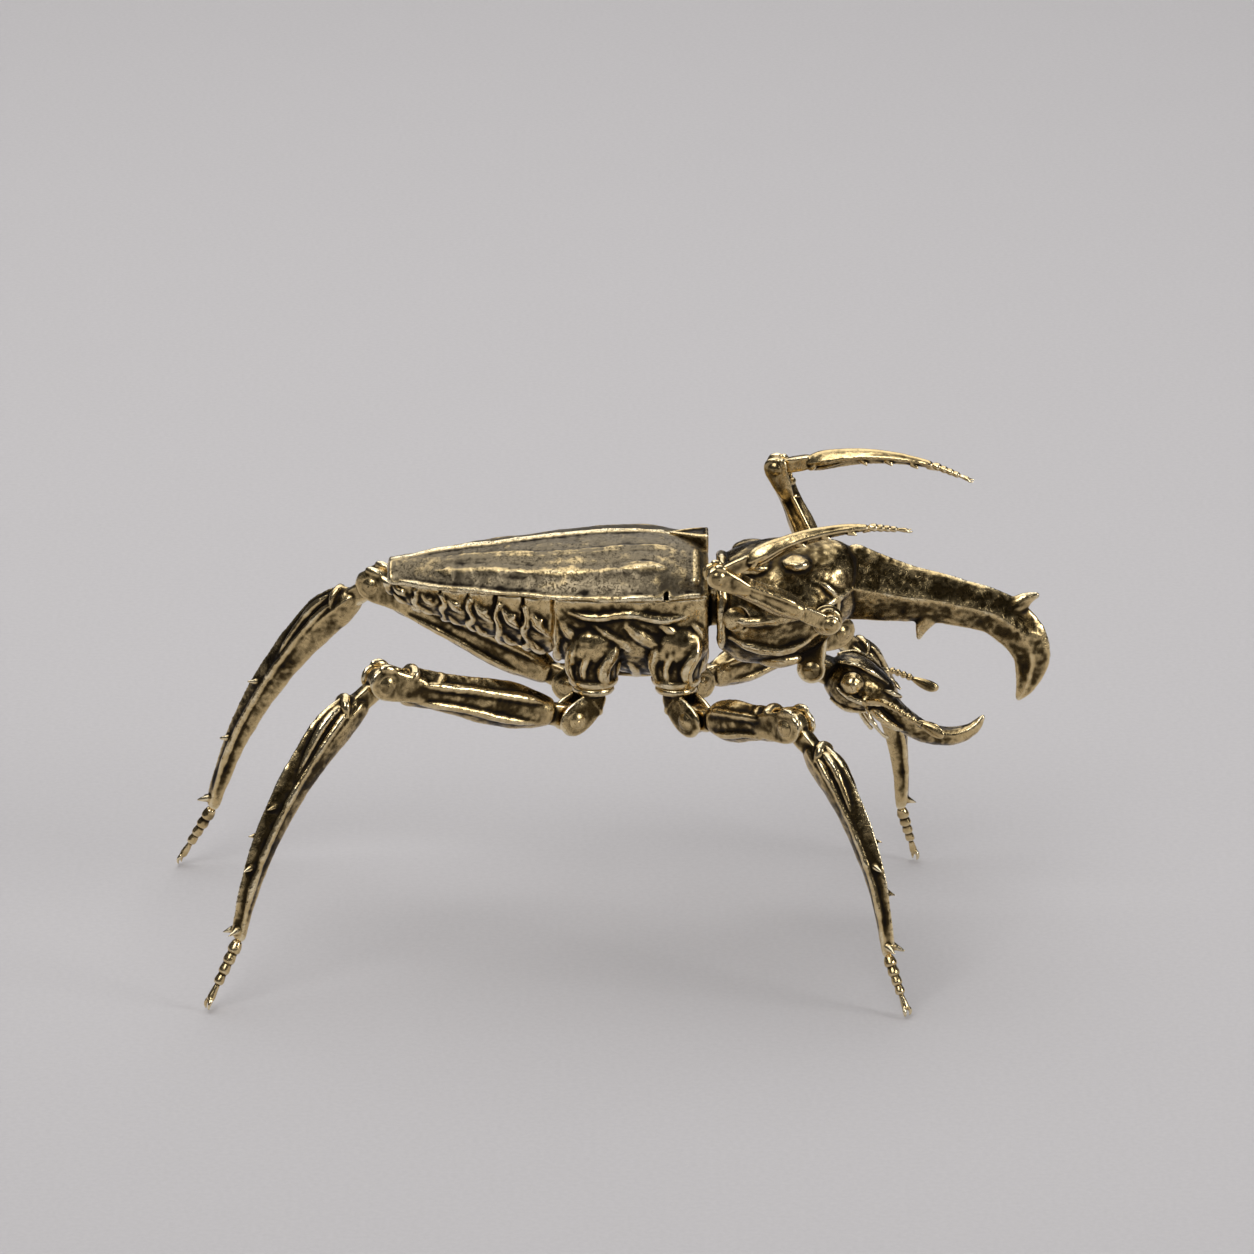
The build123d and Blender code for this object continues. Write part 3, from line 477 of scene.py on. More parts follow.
def note_relief(piece):
    """Stores how far each point stands out of its surroundings, for wear and grime, and for the painted shade in
    recesses and painted highlights on ridges:
    0.5 is level, more is a ridge and less is a groove."""
    mesh = piece.data
    count = len(mesh.vertices)
    places = vectors_of(piece, "co")
    normals = vectors_of(piece, "normal")
    ends = np.empty(len(mesh.edges) * 2, dtype=np.int64)
    mesh.edges.foreach_get("vertices", ends)
    ends = ends.reshape(-1, 2)
    links = np.bincount(ends.ravel(), minlength=count).astype(float)
    links[links == 0] = 1

    def blurred(values, passes):
        for _ in range(passes):
            total = np.zeros_like(values)
            for axis in range(values.shape[1]):
                total[:, axis] = np.bincount(ends[:, 0], values[ends[:, 1], axis], count)
                total[:, axis] += np.bincount(ends[:, 1], values[ends[:, 0], axis], count)
            values = 0.4 * values + 0.6 * total / links[:, None]
        return values

    smooth = places
    for name, passes, span in RELIEFS:
        smooth = blurred(smooth, passes)
        height = blurred(((places - smooth) * normals).sum(axis=1)[:, None], 2)[:, 0]
        values = np.clip(0.5 + height / span * 0.5, 0, 1)
        attribute = mesh.attributes.new(name, "FLOAT", "POINT")
        attribute.data.foreach_set("value", values.astype(np.float32))


def dress(piece, body, node, material):
    """Shrinks a piece to metres, gives it its brass and hangs it on its body."""
    note_relief(piece)
    piece.vertex_groups.clear()
    activate(piece)
    piece.scale = (MM, MM, MM)
    settle()
    bpy.ops.object.shade_smooth()
    piece.data.materials.clear()
    piece.data.materials.append(brass(material))
    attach(piece, body)
    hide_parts(node)


class Term:
    """A shader socket that can stand in a Python expression."""

    def __init__(self, shop, socket):
        self.shop = shop
        self.socket = socket

    def _maths(self, operation, first, second, clamp=False):
        settings = {"operation": operation, "use_clamp": clamp}
        return self.shop.node("ShaderNodeMath", settings, {0: first, 1: second})

    def __add__(self, other):
        return self._maths("ADD", self, other)

    def __mul__(self, other):
        return self._maths("MULTIPLY", self, other)

    def __sub__(self, other):
        return self._maths("SUBTRACT", self, other)

    def __rsub__(self, other):
        return self._maths("SUBTRACT", other, self)

    __radd__ = __add__
    __rmul__ = __mul__

    def __abs__(self):
        return self._maths("ABSOLUTE", self, 0.0)

    def clamp(self):
        return self._maths("ADD", self, 0.0, clamp=True)

    def ramp(self, low, high, start=0.0, end=1.0):
        """Runs smoothly from start to end while this runs from low to high."""
        values = {"Value": self, "From Min": low, "From Max": high, "To Min": start, "To Max": end}
        return self.shop.node("ShaderNodeMapRange", {"interpolation_type": "SMOOTHSTEP"}, values, "Result")


class Shop:
    """Makes the nodes of one material."""

    def __init__(self, name):
        self.material = bpy.data.materials.new(name)
        self.material.use_nodes = True
        self.tree = self.material.node_tree
        self.tree.nodes.clear()

    def node(self, kind, settings=None, inputs=None, output=0):
        made = self.tree.nodes.new(kind)
        for name, value in (settings or {}).items():
            setattr(made, name, value)
        for name, value in (inputs or {}).items():
            if isinstance(value, Term):
                self.tree.links.new(value.socket, made.inputs[name])
            else:
                made.inputs[name].default_value = value
        return Term(self, made.outputs[output])

    def noise(self, place, scale, detail=3.0, roughness=0.55, distortion=0.0):
        values = {"Scale": scale, "Detail": detail, "Roughness": roughness, "Distortion": distortion}
        return self.node("ShaderNodeTexNoise", {}, {"Vector": place, **values}, "Fac")

    def bump(self, height, strength, distance):
        values = {"Strength": strength, "Distance": distance, "Height": height}
        return self.node("ShaderNodeBump", {}, values, "Normal")

    def blend(self, share, low, high):
        return self.node("ShaderNodeMix", {"data_type": "RGBA"}, {0: share, 6: low, 7: high}, 2)

    def finish(self, **inputs):
        inputs = {name.replace("_", " "): value for name, value in inputs.items()}
        shader = self.node("ShaderNodeBsdfPrincipled", {}, inputs, "BSDF")
        out = self.tree.nodes.new("ShaderNodeOutputMaterial")
        self.tree.links.new(shader.socket, out.inputs["Surface"])
        return self.material


def old_brass(name, polish, grime_and_shade, pits, grey=False, even=False):
    """Cast brass with grime and painted shade in its recesses, and polish with painted highlights on its rubbed
    ridges. Polish, grime and pits are 0 to 1, and grime also sets the painted shade; noise scales are cells per
    metre. Even brass is for the rivets, which carry no relief."""
    colours = bpy.context.scene.beetle_colours
    shop = Shop(name)
    place = shop.node("ShaderNodeTexCoord", output="Object")
    cloud = shop.noise(place, 190.0, 3.0, 0.5)
    blotch = shop.noise(place, 430.0, 3.0, 0.5, 0.7)
    speck = shop.noise(place, 2600.0, 3.0, 0.6)
    mottle = 0.5 if grey else 0.7
    marks = (blotch - 0.5) * 0.42 * mottle + (speck - 0.5) * 0.06 + (cloud - 0.5) * 0.56 * mottle
    if even:
        relief = marks * 0.6 + 0.62
        level = marks + 0.56
    else:
        relief = shop.node("ShaderNodeAttribute", {"attribute_name": "relief"}, output="Fac")
        hollow = shop.node("ShaderNodeAttribute", {"attribute_name": "hollow"}, output="Fac")
        level = relief * 0.55 + hollow * 0.6 - 0.075 + marks
    # Grime and painted shade: near-black where a point lies low in its fine relief and deep in its broad hollow,
    # also rougher and less metallic there.
    dirt_and_shade = level.ramp(0.475 + 0.06 * grime_and_shade, 0.30 + 0.06 * grime_and_shade)
    rub = level.ramp(0.60 - 0.26 * polish, 0.765 - 0.24 * polish)
    # Polish and painted highlight: near-white brass along the ridges, partly rubbed wear and partly a painted
    # highlight, also a little smoother.
    ridge = relief * 0.6 + level * 0.4 + (blotch - 0.5) * 0.2
    polish_and_highlight_share = ridge.ramp(0.645 - 0.06 * polish, 0.90 - 0.12 * polish)
    # Patina and rubbed brass first, then polish with a painted highlight on the ridges, then grime with painted
    # shade in the recesses.
    base = shop.blend(rub, (*(colours.wing if grey else colours.patina), 1), (*colours.brass, 1))
    base = shop.blend(polish_and_highlight_share, base, (*colours.bright, 1))
    base = shop.blend(dirt_and_shade, base, (*colours.grime_and_shade, 1))
    cells = shop.node("ShaderNodeTexVoronoi", {}, {"Vector": place, "Scale": 1500.0}, "Distance")
    pitted = shop.noise(place, 500.0, 2.0).ramp(0.64 - 0.2 * pits, 0.72 - 0.2 * pits)
    hole = cells.ramp(0.34, 0.12) * pitted
    base = shop.blend(hole * (0.35 + 0.3 * pits), base, (*colours.grime_and_shade, 1))
    thread = abs(shop.noise(place, 1500.0, 2.0, 0.5, 1.0) - 0.5).ramp(0.050, 0.010)
    thread = thread * cloud.ramp(0.40, 0.56, 0.4, 1.0)
    base = shop.blend(thread * (0.25 + 0.40 * pits), base, (*colours.grime_and_shade, 1))
    roughness = (0.27 if grey else 0.15) + 0.14 * blotch - 0.06 * polish_and_highlight_share - 0.03 * rub
    roughness = roughness + 0.30 * dirt_and_shade + 0.12 * thread
    height = (speck - 0.5) * 0.14 + (blotch - 0.5) * 0.4
    height = height - hole * (0.3 + 0.5 * pits) - thread * (0.1 + 0.5 * pits)
    bump = shop.bump(height, 0.4, 0.00005)
    return shop.finish(Base_Color=base, Metallic=1 - dirt_and_shade * 0.15, Roughness=roughness.clamp(), Normal=bump)


BRASSES = {
    "Limb_brass": dict(polish=0.55, grime_and_shade=0.5, pits=0.25),
    "Wing_brass": dict(polish=0.30, grime_and_shade=0.30, pits=1.0, grey=True),
    "Belly_brass": dict(polish=0.60, grime_and_shade=0.6, pits=0.35),
    "Horn_brass": dict(polish=0.45, grime_and_shade=0.55, pits=0.5),
    "Arm_brass": dict(polish=0.75, grime_and_shade=0.4, pits=0.15),
    "Dark_brass": dict(polish=0.35, grime_and_shade=0.85, pits=0.3),
    "Rivet_brass": dict(polish=0.6, grime_and_shade=0.4, pits=0.2, even=True),
}


def brass(name):
    """The material of that name, made on first use."""
    return bpy.data.materials.get(name) or old_brass(name, **BRASSES[name])


def between(table, share, column):
    """Reads a column of a table of stations at a share of the way along it."""
    return float(np.interp(share, [row[0] for row in table], [row[column] for row in table]))


# Share of the body's length, half width, crown height and keel depth.
BODY_STATIONS = (
    (0.0, 1.6, 1.49, 1.49), (0.05, 3.0, 2.79, 3.22), (0.18, 5.0, 3.72, 5.21),
    (0.38, 7.8, 4.71, 8.18), (0.6, 9.6, 5.77, 10.66), (0.82, 10.0, 6.2, 12.15),
    (1.0, 8.6, 4.96, 12.4),
)


def body_sizes(x):
    """Half width, crown height and keel depth of the body at x."""
    share = (x - TAIL) / (FRONT - TAIL)
    return tuple(between(BODY_STATIONS, share, column) for column in (1, 2, 3))


def on_oval(x, angle, width, height, y=0.0, z=0.0):
    """A point at an angle up from +Y on an oval across the body, round (y, z)."""
    turn = radians(angle)
    return (x, y + width * cos(turn), z + height * sin(turn))


def folds_on(place, table, scale=1.0):
    """Raised folds of a size each, through points that the place function lays on a skin."""
    return [vein([place(*point) for point in points], size * scale) for size, *points in table]


def case_point(x, angle, proud=0.0):
    """A point on the left wing case, at an angle up from the seam."""
    width, crown, _ = body_sizes(x)
    return on_oval(x, angle, width + proud, crown + proud, HALF_GAP, SEAM)


def belly_point(x, angle, proud=0.0):
    """A point on the left of the belly, at an angle down from the seam."""
    width, _, keel = body_sizes(x)
    return on_oval(x, -angle, width - BELLY_INSET + proud, keel + proud, 0, SEAM)


CASE_OUTLINE = (
    [(1.045, 0.04), (1.05, 0.11), (1.0, 0.17)]
    + [(cos(radians(turn)), sin(radians(turn))) for turn in range(20, 81, 10)]
    + [(0.05, 0.998), (0.0, 0.98), (0.0, 0.6), (0.0, 0.2), (0.0, 0.0), (0.3, 0.0), (0.62, 0.0), (0.92, 0.0)]
)
CASE_SECTION = [(y - 0.5, z - 0.4) for y, z in CASE_OUTLINE]
CASE_XS = (-27.1, -26.3, -25.0, -22.5, -20.0, -16.0, -12.2, -8.0, -3.6, 0.5, 5.0, 8.5, 10.6, 11.5, 12.0)


def case_form(wall=0.0):
    """The left wing case as a closed half dome, or the hollow under it when a wall is given."""
    rings = []
    for x in CASE_XS:
        if wall and x < -22:
            continue
        width, crown, _ = body_sizes(x)
        if x < -26:
            width, crown = width + 0.7, crown + 0.75
        if x > 10:
            width, crown = width - (x - 10) ** 2 * 0.24, crown - (x - 10) ** 2 * 0.26
        width, crown = width - wall, crown - wall
        reach = 3.0 if wall and x == CASE_XS[-1] else 0.0
        under = 0.4 if wall else 0.0
        lift, shift = SEAM - under + crown * 0.4, HALF_GAP + width * 0.5 + wall * 0.5
        rings.append((x + reach, width, crown, lift, shift))
    return grow(rings, CASE_SECTION, crease=(0, 11, 14), sharpness=0.8)


def along_body(start, end, count):
    return [float(x) for x in np.linspace(start, end, count)]


class BEETLE_OT_wing_cases(bpy.types.Operator):
    """Models the two wing cases, with their seam bead, ribs and shoulders."""

    bl_idname = "beetle.wing_cases"
    bl_label = "Wing cases"

    def execute(self, context):
        sizes = context.scene.beetle_sizes
        rim = body_sizes(NICK)[0]
        for side, name in SIDES:
            nick = block((NICK - 0.26, rim - 0.9, SEAM - 0.3), (NICK + 0.26, rim + 1.5, SEAM + 1.15))
            forms = [carved(case_form(), case_form(CASE_WALL), nick)]
            for start, end, count in ((TAIL + 0.5, NICK - 0.3, 11), (NICK + 0.3, FRONT - 1.0, 3)):
                bead = []
                for x in along_body(start, end, count):
                    wave = 0.10 * sin(x * 0.9 + side) + 0.06 * sin(x * 2.3)
                    bead.append((x, body_sizes(x)[0] + 0.22 + 0.5 * wave, SEAM + 0.42 + wave))
                forms.append(vein(bead, 0.40, [0.8] + [1.0] * (count - 2) + [0.8]))
            for angle, size, end in ((34, 1.25, 3.0), (60, 1.15, 2.2)):
                xs = along_body(TAIL + 3.5, FRONT - end, 9)
                forms.append(vein([case_point(x, angle + 2.5 * sin(x * 0.3), -1.02) for x in xs], size))
            xs = along_body(TAIL + 1.2, FRONT - 5.4, 9)
            edge = [(x, 0.42, SEAM + body_sizes(x)[1] - 0.10) for x in xs]
            rear = [case_point(-26.5, angle, 0.45) for angle in (4, 24, 44, 64, 86)]
            front = [case_point(10.2, angle, -0.66) for angle in (6, 24, 42, 60, 74)]
            forms += [vein(edge, 0.36, [0.7] + [1.0] * 7 + [0.7]), vein(rear, 0.42, [0.8, 1, 1, 1, 0.8])]
            forms.append(vein(front, 0.8))
            piece = cast(f"Wing_case_{name}", placed(BODY_PLACE, on_side(side, forms)), sizes.grain)
            marks = ((5.0, 0.60), (1.6, 0.13), (0.5, 0.05))
            worked(piece, marks, [(BODY_PLACE @ Vector((FRONT, 0, SEAM + 5)), 4.0)])
            dress(piece, "torso", f"wing_case_{name}", "Wing_brass")
        self.scutellum(context)
        return {"FINISHED"}

    def scutellum(self, context):
        """A three-cornered plate, drawn as a circle moved onto its outline."""
        shares = [number / 6 for number in range(7)]
        outline = [(FRONT - 4.9 + 4.8 * share, 1.85 * (1 - (1 - share) ** 1.7)) for share in shares]
        outline += [(FRONT - 0.05, 1.0), (FRONT - 0.05, 0.0)]
        loop = outline + [(x, -y) for x, y in reversed(outline[1:-1])]
        circle, bottom = bpy.ops.mesh.primitive_circle_add, (0, 0, SEAM + 3.6)
        plate = added(circle, vertices=len(loop), radius=1, fill_type="NGON", location=bottom)
        with editing():
            starts = [vertex.co.copy() for vertex in bmesh.from_edit_mesh(plate.data).verts]
            for number, start in enumerate(starts):
                x, y = loop[-number % len(loop)]
                pick(lambda vertex: vertex.index == number, "VERT")
                bpy.ops.transform.translate(value=(x - start.x, y - start.y, 0))
            bpy.ops.mesh.select_all(action="SELECT")
            bpy.ops.mesh.extrude_region_move(TRANSFORM_OT_translate={"value": (0, 0, 2.3)})
            pick(lambda face: abs(face.normal.z) > 0.9 and face.calc_center_median().z > SEAM + 5)
            bpy.ops.mesh.inset(thickness=0.32, depth=0.16)
            bpy.ops.mesh.inset(thickness=0.28, depth=-0.30)
            face_outward()
        grain = context.scene.beetle_sizes.fine_grain
        piece = cast("Scutellum_plate", placed(BODY_PLACE, [plate]), grain, 3)
        worked(piece, ((1.2, 0.08), (0.4, 0.05)))
        dress(piece, "torso", "scutellum", "Horn_brass")


BELLY_SECTION = [(1.0, 0.30), *((y, 0.40) for y in (1.0, 0.5, 0.0, -0.5, -1.0)), (-1.0, 0.30)]
BELLY_SECTION += [(-cos(radians(turn)), 0.4 - sin(radians(turn))) for turn in range(15, 166, 15)]


def belly_ring(x, at=None, size=1.0):
    """A ring of the belly at x, with the sizes that the belly has at another place."""
    width, _, keel = body_sizes(x if at is None else at)
    keel *= size
    return (x, (width - BELLY_INSET) * size, keel, SEAM - keel * 0.4)


class BEETLE_OT_belly(bpy.types.Operator):
    """Models the belly's overlapping plates and the thorax with its leg sockets."""

    bl_idname = "beetle.belly"
    bl_label = "Belly and thorax"

    def execute(self, context):
        self.abdomen(context.scene.beetle_sizes)
        self.thorax(context.scene.beetle_sizes)
        return {"FINISHED"}

    def abdomen(self, sizes):
        forms = []
        step = (WAIST - TAIL) / BELLY_PLATES
        for number in range(BELLY_PLATES):
            rear = TAIL + step * number
            front = rear + step
            rings = [
                belly_ring(max(rear - 0.25, TAIL), rear, 0.93),
                belly_ring(rear + 0.25, rear + 0.1, 1.0),
                belly_ring(rear + 1.0, rear + 0.9, 0.99),
                belly_ring(front - 0.7, front - 0.6, 0.96),
                belly_ring(front + (0.3 if number < BELLY_PLATES - 1 else 1.2), front, 0.93),
            ]
            forms.append(grow(rings, BELLY_SECTION, crease=(1, 5), sharpness=1.0))
            lip = []
            for turn in range(4, 177, 14):
                x = rear + 0.35 + 0.30 * sin(turn * 0.19 + number * 1.7) + 0.16 * sin(turn * 0.43)
                lip.append(belly_point(x, turn, -0.28))
            swells = [0.8 + 0.35 * abs(sin(knot * 1.9 + number)) for knot in range(len(lip))]
            forms.append(vein(lip, 0.44, swells))
            folds = [ball(belly_point(rear + 1.9, 20, -0.25), (0.42, 0.42, 0.42), 12)]
            for low, high in ((10, 36), (40, 74)):
                points = [(rear + 0.55, low, -0.50), (rear + 1.6, (low + high) / 2, -0.36)]
                points.append((rear + 2.9, high, -0.70))
                folds += folds_on(belly_point, [(0.62 + 0.03 * number, *points)])
            forms += both_sides(folds)
        piece = cast("Belly_plates", placed(BODY_PLACE, forms), sizes.grain)
        worked(piece, ((3.0, 0.50), (1.0, 0.09)))
        dress(piece, "torso", "abdomen", "Belly_brass")

    def thorax(self, sizes):
        rings = [belly_ring(x) for x in (WAIST + 0.02, WAIST + 0.3, -4.0, 0.0, 4.0, 8.0, 9.8)]
        rings += [belly_ring(11.0, size=0.975), belly_ring(11.7, size=0.93), belly_ring(FRONT, size=0.87)]
        forms = [grow(rings, BELLY_SECTION, crease=(1, 5), sharpness=1.0)]
        for x, y in HIPS:
            forms.append(drum((x, y, SOCKET_FACE), 2.75, 3.4, 6.0))
            forms.append(ring_bead((x, y, SOCKET_FACE + 0.65), 2.45, 0.62))
            forms.append(ball((x, y * 0.95, SOCKET_FACE + 5.4), (4.0, 3.9, 3.9), 32))
            side = 1 if y > 0 else -1
            for turn, size in ((-105, 0.8), (-58, 1.1), (-20, 0.6), (34, 1.2), (84, 0.7), (120, 0.9)):
                reaches = ((2.35, 0.5, 6), (2.85, 2.4, -8 * size), (3.1, 4.8, 10), (2.6, 7.6, 26 * size))
                fold = []
                for reach, up, swirl in reaches:
                    out = radians(turn + swirl)
                    fold.append((x + reach * sin(out), y + side * reach * cos(out), SOCKET_FACE + up))
                forms.append(vein(fold, size * 0.8, [0.6, 1.0, 1.1, 0.5]))
        folds = (
            (0.60, (-6.2, 7, -0.3), (-2.5, 12, -0.22), (2.5, 9, -0.24), (7.0, 12, -0.22), (11.0, 8, -0.6)),
            (0.95, (-6.2, 13, -0.6), (-4.8, 26, -0.5), (-2.6, 36, -0.55), (-0.6, 42, -0.8)),
            (0.85, (-2.6, 14, -0.6), (-0.8, 23, -0.5), (1.6, 31, -0.5), (3.4, 42, -0.7)),
            (1.05, (1.2, 12, -0.7), (3.2, 22, -0.6), (5.6, 30, -0.6), (7.8, 38, -0.8)),
            (0.85, (5.4, 12, -0.6), (7.2, 20, -0.5), (9.2, 28, -0.5), (10.6, 40, -0.7)),
            (0.80, (9.4, 12, -0.5), (10.6, 22, -0.6), (10.8, 40, -0.7), (10.8, 62, -0.7)),
            (0.65, (1.9, 48, -0.5), (3.0, 58, -0.3), (3.2, 72, -0.3), (3.0, 88, -0.3)),
            (0.60, (-6.4, 24, -0.3), (-6.3, 48, -0.25), (-6.3, 70, -0.25), (-6.3, 89, -0.25)),
        )
        sides = folds_on(belly_point, folds)
        sides.append(ball(belly_point(10.0, 50, -0.7), (1.5, 1.1, 1.5)))
        forms += both_sides(sides)
        forms.append(vein([(-6.2, 0, 35.0), (-1, 0, 34.35), (5, 0, 34.3), (11.2, 0, 34.5)], 0.75))
        lug = [(8.5, 2.5, 2.3, NECK.z), (11.5, 2.5, 2.3, NECK.z), (NECK.x, 2.42, 2.2, NECK.z)]
        forms += [disc(NECK.x, NECK.z, 2.3, -2.5, 2.5), grow(lug, SQUARE)]
        piece = cast("Thorax_casting", placed(BODY_PLACE, forms), sizes.grain)
        tools = []
        still = [(joint_place("neck_nod"), 3.2)]
        for x, y in HIPS:
            tools.append(drum((x, y, SOCKET_FACE - 6), 2.9, 2.9, 6.0))
            tools.append(drum((x, y, SOCKET_FACE - 1), 1.34, 1.34, 4.4))
            still.append((BODY_PLACE @ Vector((x, y, SOCKET_FACE - 0.5)), 2.8))
        carved(piece, *placed(BODY_PLACE, tools))
        worked(piece, ((3.0, 0.50), (1.0, 0.09)), still)
        dress(piece, "torso", "thorax", "Belly_brass")


SHIELD_XS = (13.0, 13.5, 15.4, 17.6, 20.1, 22.6, 24.9, 26.6, 28.0, 29.2, 30.0)
# Share of the shield's length, half width, half height and middle height.
SHIELD_STATIONS = (
    (0.0, 5.3, 5.44, 42.8), (0.14, 6.94, 7.36, 42.8), (0.42, 7.8, 8.0, 43.14),
    (0.7, 6.55, 7.04, 44.16), (0.88, 4.45, 5.5, 45.3), (1.0, 2.2, 3.6, 45.9),
)
HORN_LINE = [(27, 0, 46.2), (34.2, 0, 44.5), (41.9, 0, 43.1), (48.5, 0, 40.6), (51.2, 0, 36.8)]
HORN_LINE += [(50.8, 0, 32.9), (49.6, 0, 30.4)]
# Share of the horn's line, half width and half height.
HORN_RINGS = (
    (0.0, 3.0, 5.0), (0.1, 2.6, 4.3), (0.22, 2.15, 3.6), (0.34, 1.8, 3.1), (0.45, 1.55, 2.75),
    (0.56, 1.42, 2.65), (0.66, 1.32, 2.6), (0.74, 1.3, 2.6), (0.82, 1.15, 2.2), (0.92, 0.78, 1.4),
    (0.985, 0.36, 0.55), (1.0, 0.2, 0.3),
)
HORN_SECTION = even_section({0: 1.14, 22.5: 0.93, 45: 0.88, 90: 1.08, 337.5: 0.93, 315: 0.86, 270: 1.12})


def shield_sizes(x):
    """Half width, half height and middle height of the neck shield at x."""
    share = (x - SHIELD_XS[0]) / (SHIELD_XS[-1] - SHIELD_XS[0])
    return tuple(between(SHIELD_STATIONS, share, column) for column in (1, 2, 3))


def shield_point(x, angle, proud=0.0):
    width, height, middle = shield_sizes(x)
    return on_oval(x, angle, width + proud, height + proud, 0, middle)


class BEETLE_OT_shield(bpy.types.Operator):
    """Models the neck shield with the upper horn, and the front legs' hubs on it."""

    bl_idname = "beetle.shield"
    bl_label = "Neck shield and horn"

    def execute(self, context):
        sizes = context.scene.beetle_sizes
        section = even_section({0: 1.04, 337.5: 0.95, 22.5: 0.99, 270: 0.97})
        hull = grow([(x, *shield_sizes(x)) for x in SHIELD_XS], section, crease=(0, 8))
        tools = [
            disc(NECK.x, NECK.z, 2.85, -2.6, 2.6, 0),
            block((8.0, -2.6, NECK.z - 2.85), (NECK.x, 2.6, NECK.z + 2.85)),
            disc(HEAD_PIVOT.x, HEAD_PIVOT.z, 2.05, -1.9, 1.9, 0),
            disc(NECK.x, NECK.z, 1.66, 6.5, 10, 0),
            disc(NECK.x, NECK.z, 1.66, -10, -6.5, 0),
        ]
        forms = [carved(hull, *tools)]
        sides = [
            vein([shield_point(x, -2, -0.32) for x in (13.6, 16, 19, 22, 25, 27.6, 29.6)], 0.62),
            ball(shield_point(17.4, 56, -0.9), (2.6, 2.0, 1.3)),
            ball(shield_point(22.4, 52, -0.8), (2.0, 1.6, 1.1)),
            ball(shield_point(20.5, -62, -0.8), (2.8, 1.8, 1.2)),
            disc(HEAD_PIVOT.x, HEAD_PIVOT.z, 1.8, 1.9, 2.8, 0.2),
        ]
        folds = (
            (0.80, (14.4, -24, -0.5), (18.0, -34, -0.45), (22.0, -40, -0.45), (25.5, -36, -0.6)),
            (0.60, (24.4, 30, -0.4), (26.4, 14, -0.3), (27.4, -8, -0.3), (27.2, -34, -0.4)),
        )
        sides += folds_on(shield_point, folds)
        ear = [(-1.2, 0.42, 1.9), (0, 0.45, 2.2), (2.5, 0.45, 2.0), (5.0, 0.45, 1.75), (6.2, 0.42, 1.5)]
        ear_place = limb_matrix(Vector((24, 2.35, 41)), HEAD_PIVOT + Vector((0, 2.35, 0)), ACROSS)
        sides += placed(ear_place, [grow(ear, SQUARE)])
        forms += both_sides(sides)
        hoop = []
        for turn in range(-50, 231, 20):
            _, y, z = shield_point(13.7, turn, -0.1)
            hoop.append((13.5, y, z))
        forms.append(vein(hoop, 0.62))
        forms.append(bent(HORN_LINE, HORN_RINGS, HORN_SECTION, crease=(0, 4, 8, 12)))
        knob = [(0.0, 1.1, 1.9), (0.35, 1.0, 1.5), (0.7, 0.7, 0.95), (0.95, 0.34, 0.45), (1.0, 0.2, 0.26)]
        forms.append(bent([(47.2, 0, 41.3), (49.2, 0, 42.3), (50.8, 0, 43.5), (52.2, 0, 44.0)], knob))
        tooth = [(0.0, 1.3, 2.2), (0.4, 0.95, 1.5), (0.75, 0.6, 0.8), (0.97, 0.34, 0.38), (1.0, 0.2, 0.22)]
        forms.append(bent([(38.9, 0, 43.4), (38.6, 0, 41.4), (37.8, 0, 39.5), (37.5, 0, 38.2)], tooth))
        for x, z in ((33.2, 47.75), (36.4, 46.75), (39.4, 45.95), (42.3, 45.25)):
            forms.append(ball((x, 0, z - 0.2), (1.0, 0.62, 0.6), 14))
        piece = cast("Neck_shield", placed(BODY_PLACE, forms), sizes.grain)
        still = [(joint_place("neck_nod"), 3.0), (joint_place("head_nod"), 2.6)]
        worked(piece, ((3.6, 0.50), (1.3, 0.13), (0.5, 0.025)), still)
        dress(piece, "shield", "pronotum", "Horn_brass")

        for leg in RAISED:
            shoulder, elbow = joint_place(f"{leg}_shoulder"), joint_place(f"{leg}_elbow")
            matrix = limb_matrix(shoulder, elbow, Vector(JOINTS[f"{leg}_shoulder"]["axis"]))
            inward = -1 if matrix.col[1].y * shoulder.y > 0 else 1
            low, high = sorted((inward * 0.70, inward * 4.4))
            forms = [
                disc(0, 0, 1.7, low, high, 0.25),
                ring_bead((0, inward * 0.98, 0), 1.5, 0.24, (pi / 2, 0, 0)),
                ring_bead((0, inward * 1.7, 0), 1.72, 0.22, (pi / 2, 0, 0)),
            ]
            piece = cast(f"{leg}_hub", placed(matrix, forms), sizes.fine_grain, 2)
            dress(piece, "shield", f"{leg}_coxa", "Dark_brass")
        return {"FINISHED"}


SKULL_SECTION = even_section({0: 1.05, 337.5: 0.95, 90: 0.93, 270: 0.97})
LOWER_HORN_SECTION = even_section({0: 1.05, 22.5: 1.12, 45: 0.98, 67.5: 0.8, 90: 0.72, 270: 1.15})


